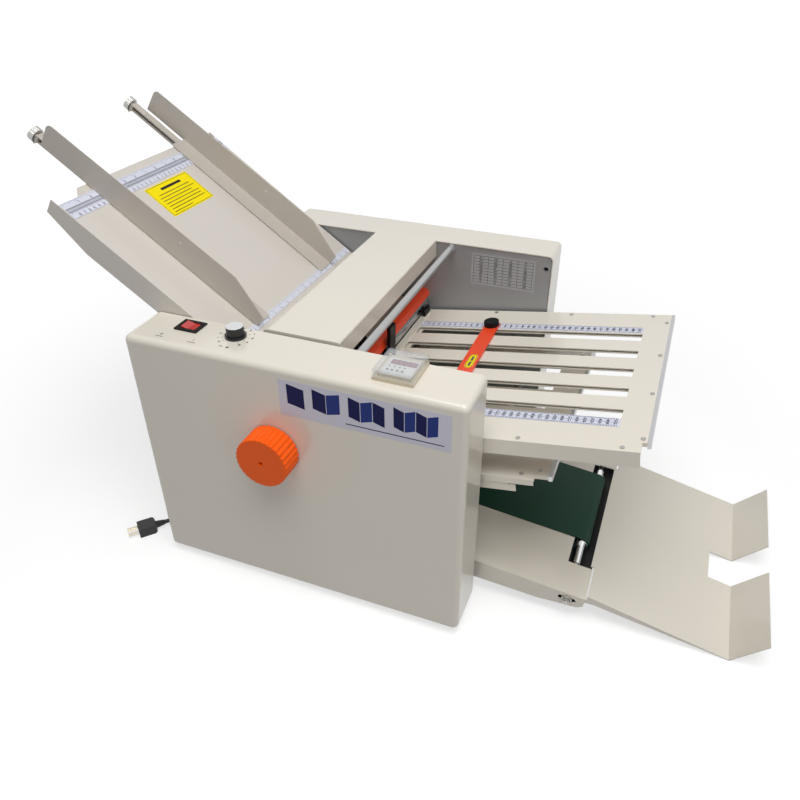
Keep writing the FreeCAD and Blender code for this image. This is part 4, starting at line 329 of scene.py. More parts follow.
finishes = {
    "creamPaint": filmMaterial("creamPaint", (0.80, 0.748, 0.655), 0.34, 0.05, coat=0.6, gloss=0.4),
    "trayPaint": filmMaterial("trayPaint", (0.68, 0.635, 0.58), 0.36, 0.05, coat=0.4, gloss=0.4),
    "guidePaint": filmMaterial("guidePaint", (0.55, 0.505, 0.45), 0.36, 0.05, coat=0.4, gloss=0.4),
    "satinRod": metalMaterial("satinRod", (0.46, 0.46, 0.46), (600, 20, 600), 0.3, 0.06, metal=0.6),
    "greyPlate": metalMaterial("greyPlate", (0.34, 0.345, 0.35), (30, 30, 900), 0.45, 0.08, metal=0.4),
    "chromeRod": metalMaterial("chromeRod", (0.78, 0.78, 0.79), (900, 20, 900), 0.12, 0.05),
    "rollerSteel": metalMaterial("rollerSteel", (0.5, 0.5, 0.5), (700, 30, 700), 0.25, 0.15),
    "aluminium": metalMaterial("aluminium", (0.52, 0.52, 0.53), (700, 20, 700), 0.32, 0.12),
    "zincSteel": metalMaterial("zincSteel", (0.44, 0.43, 0.41), (120, 120, 120), 0.32, 0.08),
    "blackPlastic": filmMaterial("blackPlastic", (0.007, 0.007, 0.008), 0.35, 0.3, 2500.0, 0.00003, gloss=0.15),
    "blackRubber": filmMaterial("blackRubber", (0.018, 0.018, 0.018), 0.6, 0.3, 1800.0, 0.00003),
    "orangeKnob": filmMaterial("orangeKnob", (1.0, 0.12, 0.0), 0.45, 0.05, 1200.0, 0.00003, gloss=0.3),
    "orangePaint": filmMaterial("orangePaint", (0.92, 0.07, 0.015), 0.36, 0.08, coat=0.15),
    "greenBelt": filmMaterial("greenBelt", (0.004, 0.042, 0.022), 0.5, 0.2, 3000.0, 0.00005, gloss=0.2),
    "scaleStock": filmMaterial("scaleStock", (0.72, 0.74, 0.84), 0.4, 0.04, gloss=0.2),
    "counterCream": filmMaterial("counterCream", (0.62, 0.55, 0.41), 0.3, 0.04, coat=0.3),
    "rockerRed": filmMaterial("rockerRed", (0.55, 0.006, 0.008), 0.2, 0.05, coat=0.6),
    "motorPaint": filmMaterial("motorPaint", (0.05, 0.05, 0.055), 0.4, 0.2),
    "boardGreen": filmMaterial("boardGreen", (0.01, 0.12, 0.04), 0.35, 0.3, coat=0.5),
    "gearNylon": filmMaterial("gearNylon", (0.66, 0.62, 0.52), 0.4, 0.06),
    "cordSheath": filmMaterial("cordSheath", (0.014, 0.014, 0.015), 0.42, 0.3, 2200.0, 0.00003),
}


lidFacts = {"tone": (0.86, 0.89, 0.92), "roughness": 0.08, "alpha": 0.17, "scratchScale": 260.0,
            "scratchDepth": 0.00001, "scratchBump": 0.2}


# Clear moulded lid: thin see-through film whose walls add up to a pale edge, with hairline scratches.
def clearMaterial(name, facts):
    material, tree, shader, spot = startMaterial(name)
    shader.inputs["Base Color"].default_value = facts["tone"] + (1,)
    shader.inputs["Roughness"].default_value = facts["roughness"]
    shader.inputs["Alpha"].default_value = facts["alpha"]
    hair = addNode(tree, "ShaderNodeTexNoise")
    hair.inputs["Scale"].default_value = facts["scratchScale"]
    tree.links.new(spot, hair.inputs["Vector"])
    linkBump(tree, shader, hair.outputs["Fac"], facts["scratchDepth"], facts["scratchBump"])
    return material


splitFacts = {"cloud": 0.15, "peel": 1800.0, "depth": 0.00002}


# Two finishes on one node: the second shows where the object's point lies past a plane. The facts hold
# the tones, roughness and metal share of the first and the second.
def splitMaterial(name, facts, centre, way, past):
    tones, roughness, metals = facts["tones"], facts["roughness"], facts["metals"]
    material, tree, shader, spot = startMaterial(name)
    film = addNode(tree, "ShaderNodeGroup", node_tree=paintFilm)
    tree.links.new(spot, film.inputs["Place"])
    film.inputs["Cloud"].default_value = splitFacts["cloud"]
    film.inputs["Peel"].default_value = splitFacts["peel"]
    offset = addNode(tree, "ShaderNodeVectorMath", operation="SUBTRACT")
    tree.links.new(spot, offset.inputs[0])
    offset.inputs[1].default_value = centre
    reach = addNode(tree, "ShaderNodeVectorMath", operation="DOT_PRODUCT")
    tree.links.new(offset.outputs[0], reach.inputs[0])
    reach.inputs[1].default_value = way
    mask = calc(tree, "GREATER_THAN", reach.outputs["Value"], past)
    tone = addNode(tree, "ShaderNodeMix", data_type="RGBA")
    tree.links.new(mask, tone.inputs[0])
    tone.inputs[6].default_value = tuple(tones[0]) + (1,)
    tone.inputs[7].default_value = tuple(tones[1]) + (1,)
    tree.links.new(tone.outputs[2], film.inputs["Tone"])
    tree.links.new(film.outputs["Colour"], shader.inputs["Base Color"])
    rough = calc(tree, "ADD", roughness[0], calc(tree, "MULTIPLY", mask, roughness[1] - roughness[0]))
    tree.links.new(rough, shader.inputs["Roughness"])
    metal = calc(tree, "ADD", metals[0], calc(tree, "MULTIPLY", mask, metals[1] - metals[0]))
    tree.links.new(metal, shader.inputs["Metallic"])
    linkBump(tree, shader, film.outputs["Height"], splitFacts["depth"], filmFacts["bump"])
    return material


dialFacts = {"capDepth": 0.0007, "tones": ((0.012, 0.012, 0.013), (0.75, 0.76, 0.77)), "roughness": (0.3, 0.35),
             "metals": (0.0, 0.4)}
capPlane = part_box("speed_dial")[1][2] - dialFacts["capDepth"]
finishes["dialBlack"] = splitMaterial("dialBlack", dialFacts, (0, 0, capPlane), (0, 0, 1), 0.0)
plugFacts = {"rear": (-46.0, 42.0, 9.0), "turn": 228.5, "bladesFrom": 0.0452,
             "tones": ((0.012, 0.012, 0.012), (0.72, 0.68, 0.58)), "roughness": (0.45, 0.25), "metals": (0.0, 1.0)}
plugTurn = math.radians(plugFacts["turn"])
finishes["plugBlack"] = splitMaterial("plugBlack", plugFacts, tuple(place(plugFacts["rear"])),
                                      (math.cos(plugTurn), math.sin(plugTurn), 0), plugFacts["bladesFrom"])
finishes["clearLid"] = clearMaterial("clearLid", lidFacts)

finishOf = {
    "feed_tray": "trayPaint", "side_guide_front": "guidePaint", "side_guide_rear": "guidePaint",
    "front_side_plate": "greyPlate", "rear_side_plate": "greyPlate", "tie_rods": "satinRod",
    "rubber_feet": "blackRubber", "scale_strips": "scaleStock", "separator_bracket": "blackPlastic",
    "separator_pad": "blackRubber", "roller_guard": "orangePaint", "plate_latches": "blackPlastic",
    "plate_screws": "zincSteel", "plate_end_bars": "aluminium", "stop_bar": "orangePaint",
    "end_axle": "zincSteel", "conveyor_belt": "greenBelt", "conveyor_drive_roller": "rollerSteel",
    "conveyor_end_roller": "chromeRod", "shaft_bearings": "rollerSteel", "drive_motor": "motorPaint",
    "motor_pulley": "aluminium", "driven_pulley": "aluminium", "drive_belts": "blackRubber",
    "hand_knob": "orangeKnob", "feed_shaft": "chromeRod", "feed_wheel": "blackRubber",
    "feed_gear": "gearNylon", "control_board": "boardGreen", "switch_bezel": "blackPlastic",
    "rocker": "rockerRed", "speed_dial": "dialBlack", "counter_base": "counterCream",
    "counter_lid": "clearLid", "stop_knob_front": "blackPlastic", "stop_knob_rear": "blackPlastic",
    "guide_screw_front": "zincSteel", "guide_screw_rear": "zincSteel", "cord_gland": "blackPlastic",
    "cord_plug": "plugBlack",
}
for name, node in nodes.items():
    finish = finishOf.get(name, "rollerSteel" if name.startswith("fold_roller") else "creamPaint")
    node.data.materials.clear()
    node.data.materials.append(finishes[finish])
print("finishes laid on the CAD nodes")


# Flat places that markings lie on: an origin and two ways along it. The plane faces the way square to both.
slopeFacts = {"tray": 35.0, "plate": 8.8}
traySlope = math.radians(slopeFacts["tray"])
plateSlope = math.radians(slopeFacts["plate"])
planes = {
    "tray": ((0, 0, 452.3), (math.cos(traySlope), 0, -math.sin(traySlope)), (0, 1, 0)),
    "upperPlate": ((500, 0, 309), (math.cos(plateSlope), 0, math.sin(plateSlope)), (0, 1, 0)),
    "frontFace": ((0, 0, 12), (1, 0, 0), (0, 0, 1)),
    "rearPlate": ((0, 480.8, 12), (1, 0, 0), (0, 0, 1)),
    "coverTop": ((0, 0, 409), (1, 0, 0), (0, 1, 0)),
    "dialSkirt": ((0, 0, 412), (1, 0, 0), (0, 1, 0)),
    "counterFace": ((0, 0, 417.5), (1, 0, 0), (0, 1, 0)),
    "lidTop": ((0, 0, 424), (1, 0, 0), (0, 1, 0)),
}


# A point of a plane is its origin plus u and v along it, raised by the lift.
def onPlane(name, u, v, lift):
    origin, along, across = [np.array(part, dtype=float) for part in planes[name]]
    normal = np.cross(along, across)
    u = np.asarray(u, dtype=float)[..., None]
    v = np.asarray(v, dtype=float)[..., None]
    return place(origin + u * along + v * across + lift * normal)


def addMesh(name, points, faces, finish, body):
    mesh = bpy.data.meshes.new(name)
    mesh.from_pydata(np.asarray(points).reshape(-1, 3).tolist(), [], np.asarray(faces).tolist())
    mesh.materials.append(finish)
    piece = bpy.data.objects.new(name, mesh)
    bpy.context.scene.collection.objects.link(piece)
    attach(piece, body)
    return piece


# Corner numbers of every cell of a grid with that many points each way.
def gridFaces(rows, columns):
    first = (np.arange(rows - 1)[:, None] * columns + np.arange(columns - 1)[None, :]).ravel()
    return np.stack([first, first + 1, first + columns + 1, first + columns], axis=1)


stickerFacts = {"cornerRows": 12, "sideRows": 6, "columns": 24, "thickness": 0.00012, "lift": 0.14}


# A sticker is a grid of rows across an oblong. Rows lie close within the corner's radius of either end,
# and there each is inset by the radius less the root of the radius squared minus the distance squared.
def addSticker(name, plane, low, high, corner, finish, lift=stickerFacts["lift"], body="machine"):
    tall = high[1] - low[1]
    ends = np.linspace(0, corner, stickerFacts["cornerRows"])
    between = corner + np.linspace(0, 1, stickerFacts["sideRows"])[1:-1] * (tall - 2 * corner)
    edge = np.concatenate([ends, between, tall - ends[::-1]])
    near = np.minimum(edge, tall - edge)
    inset = corner - np.sqrt(np.maximum(corner ** 2 - np.maximum(corner - near, 0) ** 2, 0))
    across = np.linspace(0, 1, stickerFacts["columns"])
    u = low[0] + inset[:, None] + across[None, :] * (high[0] - low[0] - 2 * inset[:, None])
    v = low[1] + edge[:, None] + 0 * u
    piece = addMesh(name, onPlane(plane, u, v, lift), gridFaces(len(edge), len(across)), finish, body)
    thick = piece.modifiers.new("filmThickness", "SOLIDIFY")
    thick.thickness = stickerFacts["thickness"]
    thick.offset = -1
    return piece


# Straight strokes as one quad each: ends pushed out by half the width, sides set off square to it.
def strokeQuads(starts, ends, width):
    starts = np.asarray(starts, dtype=float)
    ends = np.asarray(ends, dtype=float)
    way = ends - starts
    way = way / np.maximum(np.linalg.norm(way, axis=1, keepdims=True), 1e-9)
    side = np.stack([-way[:, 1], way[:, 0]], axis=1) * width / 2
    start = starts - way * width / 2
    end = ends + way * width / 2
    return np.stack([start - side, end - side, end + side, start + side], axis=1)


# A row of ticks: each starts on one line, at a spot along it, and reaches off it. The line runs along v,
# or along u where the row is turned.
def tickQuads(spots, line, reach, width, turned=False):
    starts = np.stack([np.full(len(spots), line), spots], 1)
    ends = np.stack([line + reach, spots], 1)
    if turned:
        starts, ends = starts[:, ::-1], ends[:, ::-1]
    return strokeQuads(starts, ends, width)


# The outline of an oblong, that far inside its low and high corners.
def outlineQuads(low, high, inset, width):
    left, right, front, rear = low[0] + inset, high[0] - inset, low[1] + inset, high[1] - inset
    corners = [(left, front), (right, front), (right, rear), (left, rear)]
    return strokeQuads(corners, corners[1:] + corners[:1], width)


def addStrokes(name, plane, quads, lift, finish, body="machine"):
    corners = np.concatenate(quads).reshape(-1, 2)
    points = onPlane(plane, corners[:, 0], corners[:, 1], lift)
    faces = np.arange(len(corners)).reshape(-1, 4)
    return addMesh(name, points, faces, finish, body)


# Plain numerals from seven strokes; each numeral lists the strokes that it uses.
segmentEnds = {"a": ((0, 2), (1, 2)), "b": ((1, 2), (1, 1)), "c": ((1, 1), (1, 0)), "d": ((1, 0), (0, 0)),
               "e": ((0, 0), (0, 1)), "f": ((0, 1), (0, 2)), "g": ((0, 1), (1, 1))}
numeralStrokes = {"0": "abcdef", "1": "bc", "2": "abged", "3": "abgcd", "4": "fgbc", "5": "afgcd",
                  "6": "afgedc", "7": "abc", "8": "abcdefg", "9": "gfabcd"}


# Each numeral's step and width, as shares of its height.
numeralFacts = {"step": 0.72, "wide": 0.45}


# A number's strokes, centred on a point; up is the way its top faces and height its size.
def numberQuads(number, centre, height, up, width):
    up = np.array(up, dtype=float)
    right = np.array([up[1], -up[0]])
    text = str(number)
    step = height * numeralFacts["step"]
    wide = height * numeralFacts["wide"]
    quads = []
    for index, numeral in enumerate(text):
        left = (index - (len(text) - 1) / 2) * step - wide / 2
        ends = np.array([segmentEnds[mark] for mark in numeralStrokes[numeral]], dtype=float)
        x = left + ends[..., 0] * wide
        y = (ends[..., 1] / 2 - 0.5) * height
        spots = np.array(centre, dtype=float) + x[..., None] * right + y[..., None] * up
        quads.append(strokeQuads(spots[:, 0], spots[:, 1], width))
    return quads


inks = {"navy": filmMaterial("navyInk", (0.008, 0.010, 0.075), 0.4, 0.05, gloss=0.1),
        "blue": filmMaterial("blueInk", (0.025, 0.045, 0.22), 0.4, 0.05, gloss=0.1),
        "grey": filmMaterial("greyInk", (0.1, 0.1, 0.11), 0.4, 0.05, gloss=0.1),
        "black": filmMaterial("blackInk", (0.015, 0.015, 0.018), 0.4, 0.05, gloss=0.1),
        "white": filmMaterial("whiteInk", (0.8, 0.8, 0.8), 0.4, 0.03),
        "display": filmMaterial("displayWindow", (0.22, 0.085, 0.12), 0.15, 0.04, coat=0.5),
        "yellow": filmMaterial("yellowSticker", (1.0, 0.81, 0.0), 0.5, 0.02, gloss=0.2),
        "litDigit": filmMaterial("litDigit", (0.42, 0.17, 0.24), 0.2, 0.03, coat=0.3),
        # Grey metal strokes for the lid's rim: painted shade and highlight of the clear lid's walls.
        "lidEdgeLight": metalMaterial("lidEdgeLightInk", (0.38, 0.39, 0.42), (20, 600, 20), 0.35, 0.08),
        "chartFoil": filmMaterial("chartFoil", (0.40, 0.40, 0.41), 0.4, 0.04, gloss=0.2),
        "palePlate": filmMaterial("palePlate", (0.70, 0.70, 0.68), 0.38, 0.04, coat=0.2),
        "labelStock": filmMaterial("labelStock", (0.66, 0.65, 0.75), 0.32, 0.04, coat=0.3)}


# Scales across the feed tray: millimetres below the groove, inches above it, and the lower strip.
trayScaleFacts = {"first": 84.0, "last": 472.0, "middle": 278.4, "ink": 0.45, "lift": 0.86, "numberHeight": 3.9,
                  "millimetres": 2.0, "millimetreLine": -149.0, "millimetreReach": (3.4, 2.0),
                  "tenLine": -141.6, "tenStroke": 0.65,
                  "inch": 25.4, "inchLine": -167.2, "inchReach": (4.6, 3.2, 1.8), "inchNumberLine": -160.2,
                  "inchShift": 3.0, "inchStroke": 0.7,
                  "lowerStep": 5.0, "lowerLine": 141.0, "lowerReach": (3.6, 2.0), "lowerNumberLine": 148.0,
                  "lowerHeight": 2.8, "lowerStroke": 0.45,
                  "grooveSides": (81.6, 475.2), "grooveLift": 0.89,
                  "grooveLines": ((-156.6, 0.5), (-155.2, 0.9), (-152.4, 0.5), (-150.0, 1.1))}


# Ticks start at one line and reach up by the step's own length. The numbers count centimetres and inches
# from the tray's middle.
def addTrayScales(facts):
    def count(spot, unit):
        return int(round(abs(spot - facts["middle"]) / unit))

    places = np.arange(facts["first"], facts["last"], facts["millimetres"])
    reach = np.where(np.arange(len(places)) % 5 == 0, *facts["millimetreReach"])
    quads = [tickQuads(places, facts["millimetreLine"], reach, facts["ink"])]
    eighth = facts["inch"] / 8
    steps = np.arange(int((facts["last"] - facts["first"]) / eighth))
    spots = facts["first"] + steps * eighth
    whole, half, short = facts["inchReach"]
    reach = np.where(steps % 8 == 0, whole, np.where(steps % 4 == 0, half, short))
    quads.append(tickQuads(spots, facts["inchLine"], reach, facts["ink"]))
    for spot in spots[8::8]:
        quads += numberQuads(count(spot, facts["inch"]), (facts["inchNumberLine"], spot + facts["inchShift"]),
                             facts["numberHeight"], (-1, 0), facts["inchStroke"])
    for spot in places[5::5]:
        quads += numberQuads(count(spot, 10), (facts["tenLine"], spot), facts["numberHeight"], (-1, 0),
                             facts["tenStroke"])
    fives = np.arange(facts["first"], facts["last"], facts["lowerStep"])
    reach = np.where(np.arange(len(fives)) % 4 == 0, *facts["lowerReach"])
    quads.append(tickQuads(fives, facts["lowerLine"], reach, facts["ink"]))
    for spot in fives[4::4]:
        quads += numberQuads(count(spot, 10), (facts["lowerNumberLine"], spot), facts["lowerHeight"], (-1, 0),
                             facts["lowerStroke"])
    addStrokes("trayScaleMarks", "tray", quads, facts["lift"], inks["navy"])
    front, rear = facts["grooveSides"]
    lines = [strokeQuads([(spot, front)], [(spot, rear)], width) for spot, width in facts["grooveLines"]]
    addStrokes("trayGrooveLines", "tray", lines, facts["grooveLift"], inks["grey"])


# Scales along the upper plate, on a rear and a front strip: a row of ticks at both edges, two rows
# of numbers and a line between them.
plateScaleFacts = {"start": -209.0, "end": 165.0, "step": 2.0, "ink": 0.7, "lift": 0.86, "inset": 0.7,
                   "reach": (3.6, 2.2), "numberIn": 6.4, "numberHeight": 3.2, "numberStroke": 0.75,
                   "middleStroke": 0.5, "rear": (404.9, 423.9), "front": (134.0, 154.0)}


def addPlateScales(facts):
    places = np.arange(facts["start"], facts["end"], facts["step"])
    reach = np.where(np.arange(len(places)) % 5 == 0, *facts["reach"])
    quads = []
    for low, high in (facts["rear"], facts["front"]):
        middle = (low + high) / 2
        for edge, way in ((low + facts["inset"], 1), (high - facts["inset"], -1)):
            quads.append(tickQuads(places, edge, way * reach, facts["ink"], turned=True))
            for index, spot in enumerate(places[5::5]):
                quads += numberQuads(index + 1, (spot, edge + way * facts["numberIn"]), facts["numberHeight"],
                                     (0, 1), facts["numberStroke"])
        quads.append(strokeQuads([(facts["start"], middle)], [(facts["end"], middle)], facts["middleStroke"]))
    addStrokes("plateScaleMarks", "upperPlate", quads, facts["lift"], inks["navy"])


addTrayScales(trayScaleFacts)
addPlateScales(plateScaleFacts)
print("scales marked")


# The mains lead: one smooth line from the gland's tip through the coil to the plug.
cordFacts = {"exit": (-32, 518, 72), "diameter": 7.0, "turns": 5.0, "pointsPerTurn": 14, "length": 1.764,
             "order": 3, "stepsPerPoint": 6, "roundness": 4,
             "leadIn": [(-52, 518, 72), (-74, 512, 62), (-88, 494, 44), (-92, 466, 24), (-88, 432, 9),
                        (-80, 394, 3.6), (-70, 340, 3.6), (-70, 299, 3.6)],
             "coilCentre": (-118, 292), "coilRadius": 48.0, "turnPitch": 7.6, "layers": (3.6, 11.2),
             "leadOut": [(-70, 285, 11.2), (-70, 263, 11.2), (-67, 236, 7.5), (-56, 203, 3.6), (-36, 168, 3.6),
                         (-22, 134, 3.6), (-18, 104, 4), (-22, 79, 6.5), (-32.7, 57, 9)]}


# The coil's point at a turn: the radius shrinks to the middle turn and grows again on a second
# layer, the angle runs clockwise, and the height climbs half a cosine at the middle turn.
def coilPoint(facts, turn):
    half = facts["turns"] / 2
    radius = facts["coilRadius"] - facts["turnPitch"] * (half - abs(turn - half))
    climb = min(max((turn - half) * 2 + 0.5, 0.0), 1.0)
    low, high = facts["layers"]
    angle = -2 * math.pi * turn
    return (facts["coilCentre"][0] + radius * math.cos(angle), facts["coilCentre"][1] + radius * math.sin(angle),
            low + (high - low) * (1 - math.cos(math.pi * climb)) / 2)


def addCord(facts):
    count = int(facts["turns"] * facts["pointsPerTurn"])
    coil = [coilPoint(facts, facts["turns"] * (index + 0.5) / count) for index in range(count)]
    route = place([facts["exit"]] + facts["leadIn"] + coil + facts["leadOut"] + [plugFacts["rear"]])
    curve = bpy.data.curves.new("mainsCord", "CURVE")
    curve.dimensions = "3D"
    spline = curve.splines.new("NURBS")
    spline.points.add(len(route) - 1)
    weighted = np.concatenate([route, np.ones((len(route), 1))], axis=1)
    spline.points.foreach_set("co", weighted.ravel())
    spline.order_u = facts["order"]
    spline.use_endpoint_u = True
    spline.resolution_u = facts["stepsPerPoint"]
    curve.bevel_depth = facts["diameter"] / 2000
    curve.bevel_resolution = facts["roundness"]
    curve.use_fill_caps = True
    curve.materials.append(finishes["cordSheath"])
    cord = bpy.data.objects.new("mainsCord", curve)
    bpy.context.scene.collection.objects.link(cord)
    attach(cord, "machine")
    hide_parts("cord_lead_in", "cord_coil", "cord_lead_out")


addCord(cordFacts)
print("cord laid")


# Pale label on the front cover, with folded leaflets drawn in navy.
labelFacts = {"low": (242.0, 325.5), "high": (480.0, 381.0), "corner": 2.5, "inkLift": 0.19, "gap": 0.9, "rise": 5.0,
              "tall": 35.0, "between": 12.0, "margin": 12.0, "raised": 5.0, "ruleUp": 8.0, "ruleFrom": 96.0,
              "ruleTo": 10.0, "ruleWidth": 1.5, "leaflets": ((1, 25.0), (2, 19.0), (3, 16.0), (4, 14.0))}


# A folded leaflet seen from the front: upright panels side by side, each a slanted four-sided
# shape whose left and right ends stand higher and lower by turns.
def leafletQuads(centre, panels, wide, tall, rise, gap):
    x0 = centre[0] - (panels * wide + (panels - 1) * gap) / 2
    quads = []
    for panel in range(panels):
        left = x0 + panel * (wide + gap)
        lift = rise if panel % 2 == 0 else 0
        drop = rise - lift
        low, high = centre[1] - tall / 2, centre[1] + tall / 2
        quads.append([(left, low + lift), (left + wide, low + drop), (left + wide, high + drop - rise),
                      (left, high + lift - rise)])
    return np.array(quads, dtype=float)


# Four leaflets of one to four panels side by side, with one rule under the last two.
def addFrontLabel(facts):
    addSticker("frontLabel", "frontFace", facts["low"], facts["high"], facts["corner"], inks["labelStock"])
    left, low = facts["low"]
    right, high = facts["high"]
    middle = (low + high) / 2 + facts["raised"]
    dark, light, spot = [], [], left + facts["margin"]
    for count, wide in facts["leaflets"]:
        span = count * wide + (count - 1) * facts["gap"]
        panels = leafletQuads((spot + span / 2, middle), count, wide, facts["tall"], facts["rise"], facts["gap"])
        dark.append(panels[0::2])
        light.append(panels[1::2])
        spot += span + facts["between"]
    level = low + facts["ruleUp"]
    dark.append(strokeQuads([(left + facts["ruleFrom"], level)], [(right - facts["ruleTo"], level)],
                            facts["ruleWidth"]))
    addStrokes("frontLabelMarks", "frontFace", dark, facts["inkLift"], inks["navy"])
    addStrokes("frontLabelShades", "frontFace", light, facts["inkLift"], inks["blue"])


# Black sheet under the conveyor's end roller, put there as painted shade for the dark gap between belt and tray: a
# flat run, an arc of its own radius about the roller and a straight tip up towards the tray, drawn along the
# conveyor's width.
shadeSheetFacts = {"origin": (498.0, 64.0), "slope": 6.45, "roller": (143.5, -11.2), "radius": 14.2, "start": 92.0,
                   "arcEnd": -45.0, "tip": (169.0, -12.0), "sides": (105.0, 452.0), "sheet": 0.6,
                   "runSteps": 7, "arcSteps": 16, "sideSteps": 12}


def addRollerTray(facts):
    slope = math.radians(facts["slope"])
    middle, level = facts["roller"]
    radius = facts["radius"]
    angle = np.radians(np.linspace(-90.0, facts["arcEnd"], facts["arcSteps"]))
    flat = np.linspace(facts["start"], middle, facts["runSteps"] + 1)[:-1]
    run = np.concatenate([flat, middle + radius * np.cos(angle), [facts["tip"][0]]])
    height = np.concatenate([np.full(len(flat), level - radius), level + radius * np.sin(angle), [facts["tip"][1]]])
    x = facts["origin"][0] + run * math.cos(slope) + height * math.sin(slope)
    z = facts["origin"][1] - run * math.sin(slope) + height * math.cos(slope)
    y = np.linspace(facts["sides"][0], facts["sides"][1], facts["sideSteps"])
    points = place(np.stack([x[:, None] + 0 * y, y + 0 * x[:, None], z[:, None] + 0 * y], axis=2))
    # Painted shade: this black sheet darkens the gap between the belt's end and the tray.
    piece = addMesh("rollerShadeSheet", points, gridFaces(len(run), len(y))[:, ::-1], finishes["blackRubber"], "machine")
    thick = piece.modifiers.new("sheetThickness", "SOLIDIFY")
    thick.thickness = facts["sheet"] / 1000
    thick.offset = -1


# Settings chart on the rear side plate: a ruled table of made-up numbers without words.
chartFacts = {"low": (358.0, 326.5), "high": (471.0, 384.0), "corner": 2.0, "margin": 4.0, "rows": 9, "columns": 4,
              "ink": 0.5, "inkLift": 0.2, "numberHeight": 3.0, "numberStroke": 0.45, "rowStep": 37, "columnStep": 61,
              "least": 15, "spread": 400}


# A cell's number is its row and column times their own steps, added up and wrapped at the spread.
def addChart(facts):
    addSticker("settingsChart", "rearPlate", facts["low"], facts["high"], facts["corner"], inks["chartFoil"])
    left, low = np.array(facts["low"]) + facts["margin"]
    right, high = np.array(facts["high"]) - facts["margin"]
    levels = np.linspace(low, high, facts["rows"] + 1)
    lines = np.linspace(left, right, facts["columns"] + 1)
    quads = [strokeQuads([(left, level) for level in levels], [(right, level) for level in levels], facts["ink"]),
             strokeQuads([(line, low) for line in lines], [(line, high) for line in lines], facts["ink"])]
    for row, level in enumerate((levels[:-1] + levels[1:]) / 2):
        for column, line in enumerate((lines[:-1] + lines[1:]) / 2):
            number = (row * facts["rowStep"] + column * facts["columnStep"]) % facts["spread"] + facts["least"]
            quads += numberQuads(number, (line, level), facts["numberHeight"], (0, 1), facts["numberStroke"])
    addStrokes("settingsChartMarks", "rearPlate", quads, facts["inkLift"], inks["black"])


# Yellow note on the feed tray: a thin border, one bold line and seven fine ones, without words.
noticeFacts = {"low": (-133.0, 227.5), "high": (-70.0, 336.0), "corner": 1.5, "border": 0.7, "borderIn": 2.2,
               "boldLine": 4.6, "boldDown": 11.0, "boldInset": (32.0, 30.0), "fineLine": 1.2, "fineDown": 20.0,
               "fineStep": 6.0, "fineStarts": (15, 11, 11, 11, 11, 11, 11), "fineEnds": (16, 11, 24, 11, 14, 11, 52),
               "inkLift": 0.2}


def addTrayNotice(facts):
    low, high = facts["low"], facts["high"]
    addSticker("trayNotice", "tray", low, high, facts["corner"], inks["yellow"])
    bold = low[0] + facts["boldDown"]
    quads = [outlineQuads(low, high, facts["borderIn"], facts["border"]),
             strokeQuads([(bold, low[1] + facts["boldInset"][0])], [(bold, high[1] - facts["boldInset"][1])],
                         facts["boldLine"])]
    levels = low[0] + facts["fineDown"] + facts["fineStep"] * np.arange(len(facts["fineStarts"]))
    starts = low[1] + np.array(facts["fineStarts"])
    ends = high[1] - np.array(facts["fineEnds"])
    quads.append(strokeQuads(np.stack([levels, starts], 1), np.stack([levels, ends], 1), facts["fineLine"]))
    addStrokes("trayNoticeMarks", "tray", quads, facts["inkLift"], inks["black"])


# A loop of short strokes round an oval: x and y follow a circle's cosine and sine, pulled apart
# along v by the oval's straight part.
def ovalQuads(centre, radius, straight, width, count=28):
    angle = np.linspace(0, 2 * math.pi, count, endpoint=False)
    spots = np.stack([centre[0] + radius * np.cos(angle),
                      centre[1] + radius * np.sin(angle) + np.sign(np.sin(angle)) * straight / 2], 1)
    return [strokeQuads(spots, np.roll(spots, -1, axis=0), width)]


# Oval yellow sticker on the stop bar, with an outline and two plain strokes.
stopStickerFacts = {"centre": (-78.6, 281.0), "width": 13.0, "length": 43.0, "lift": 4.24, "inkLift": 4.29,
                    "outlineIn": 1.3, "outlineWidth": 0.8, "strokeWidth": 4.0, "strokeIn": 8.0, "gap": (-4.0, 3.0)}


def addStopSticker(facts):
    x, y = facts["centre"]
    half, reach = facts["width"] / 2, facts["length"] / 2
    addSticker("stopSticker", "upperPlate", (x - half, y - reach), (x + half, y + reach), half - 0.1,
               inks["yellow"], facts["lift"], "stop_bar")
    quads = ovalQuads((x, y), half - facts["outlineIn"], 2 * (reach - half), facts["outlineWidth"])
    tip = reach - facts["strokeIn"]
    quads.append(strokeQuads([(x, y - tip), (x, y + facts["gap"][1])], [(x, y + facts["gap"][0]), (x, y + tip)],
                             facts["strokeWidth"]))
    addStrokes("stopStickerMarks", "upperPlate", quads, facts["inkLift"], inks["grey"], "stop_bar")


# Marks round the dial: numbers on a circle at equal turns, a tick inside each, a minus and a plus below,
# and a pointer on the skirt.
dialMarkFacts = {"centre": (150.0, 52.5), "radius": 24.6, "tickFrom": 17.2, "tickTo": 20.2, "tickWidth": 0.6,
                 "first": 235.0, "last": -49.0, "steps": 10, "height": 3.1, "stroke": 0.75, "lift": 0.08,
                 "signAside": 5.0, "signDown": 30.0, "signHalf": 2.0, "signWidth": 1.4,
                 "pointer": (-14.4, -12.8), "pointerWidth": 0.9}


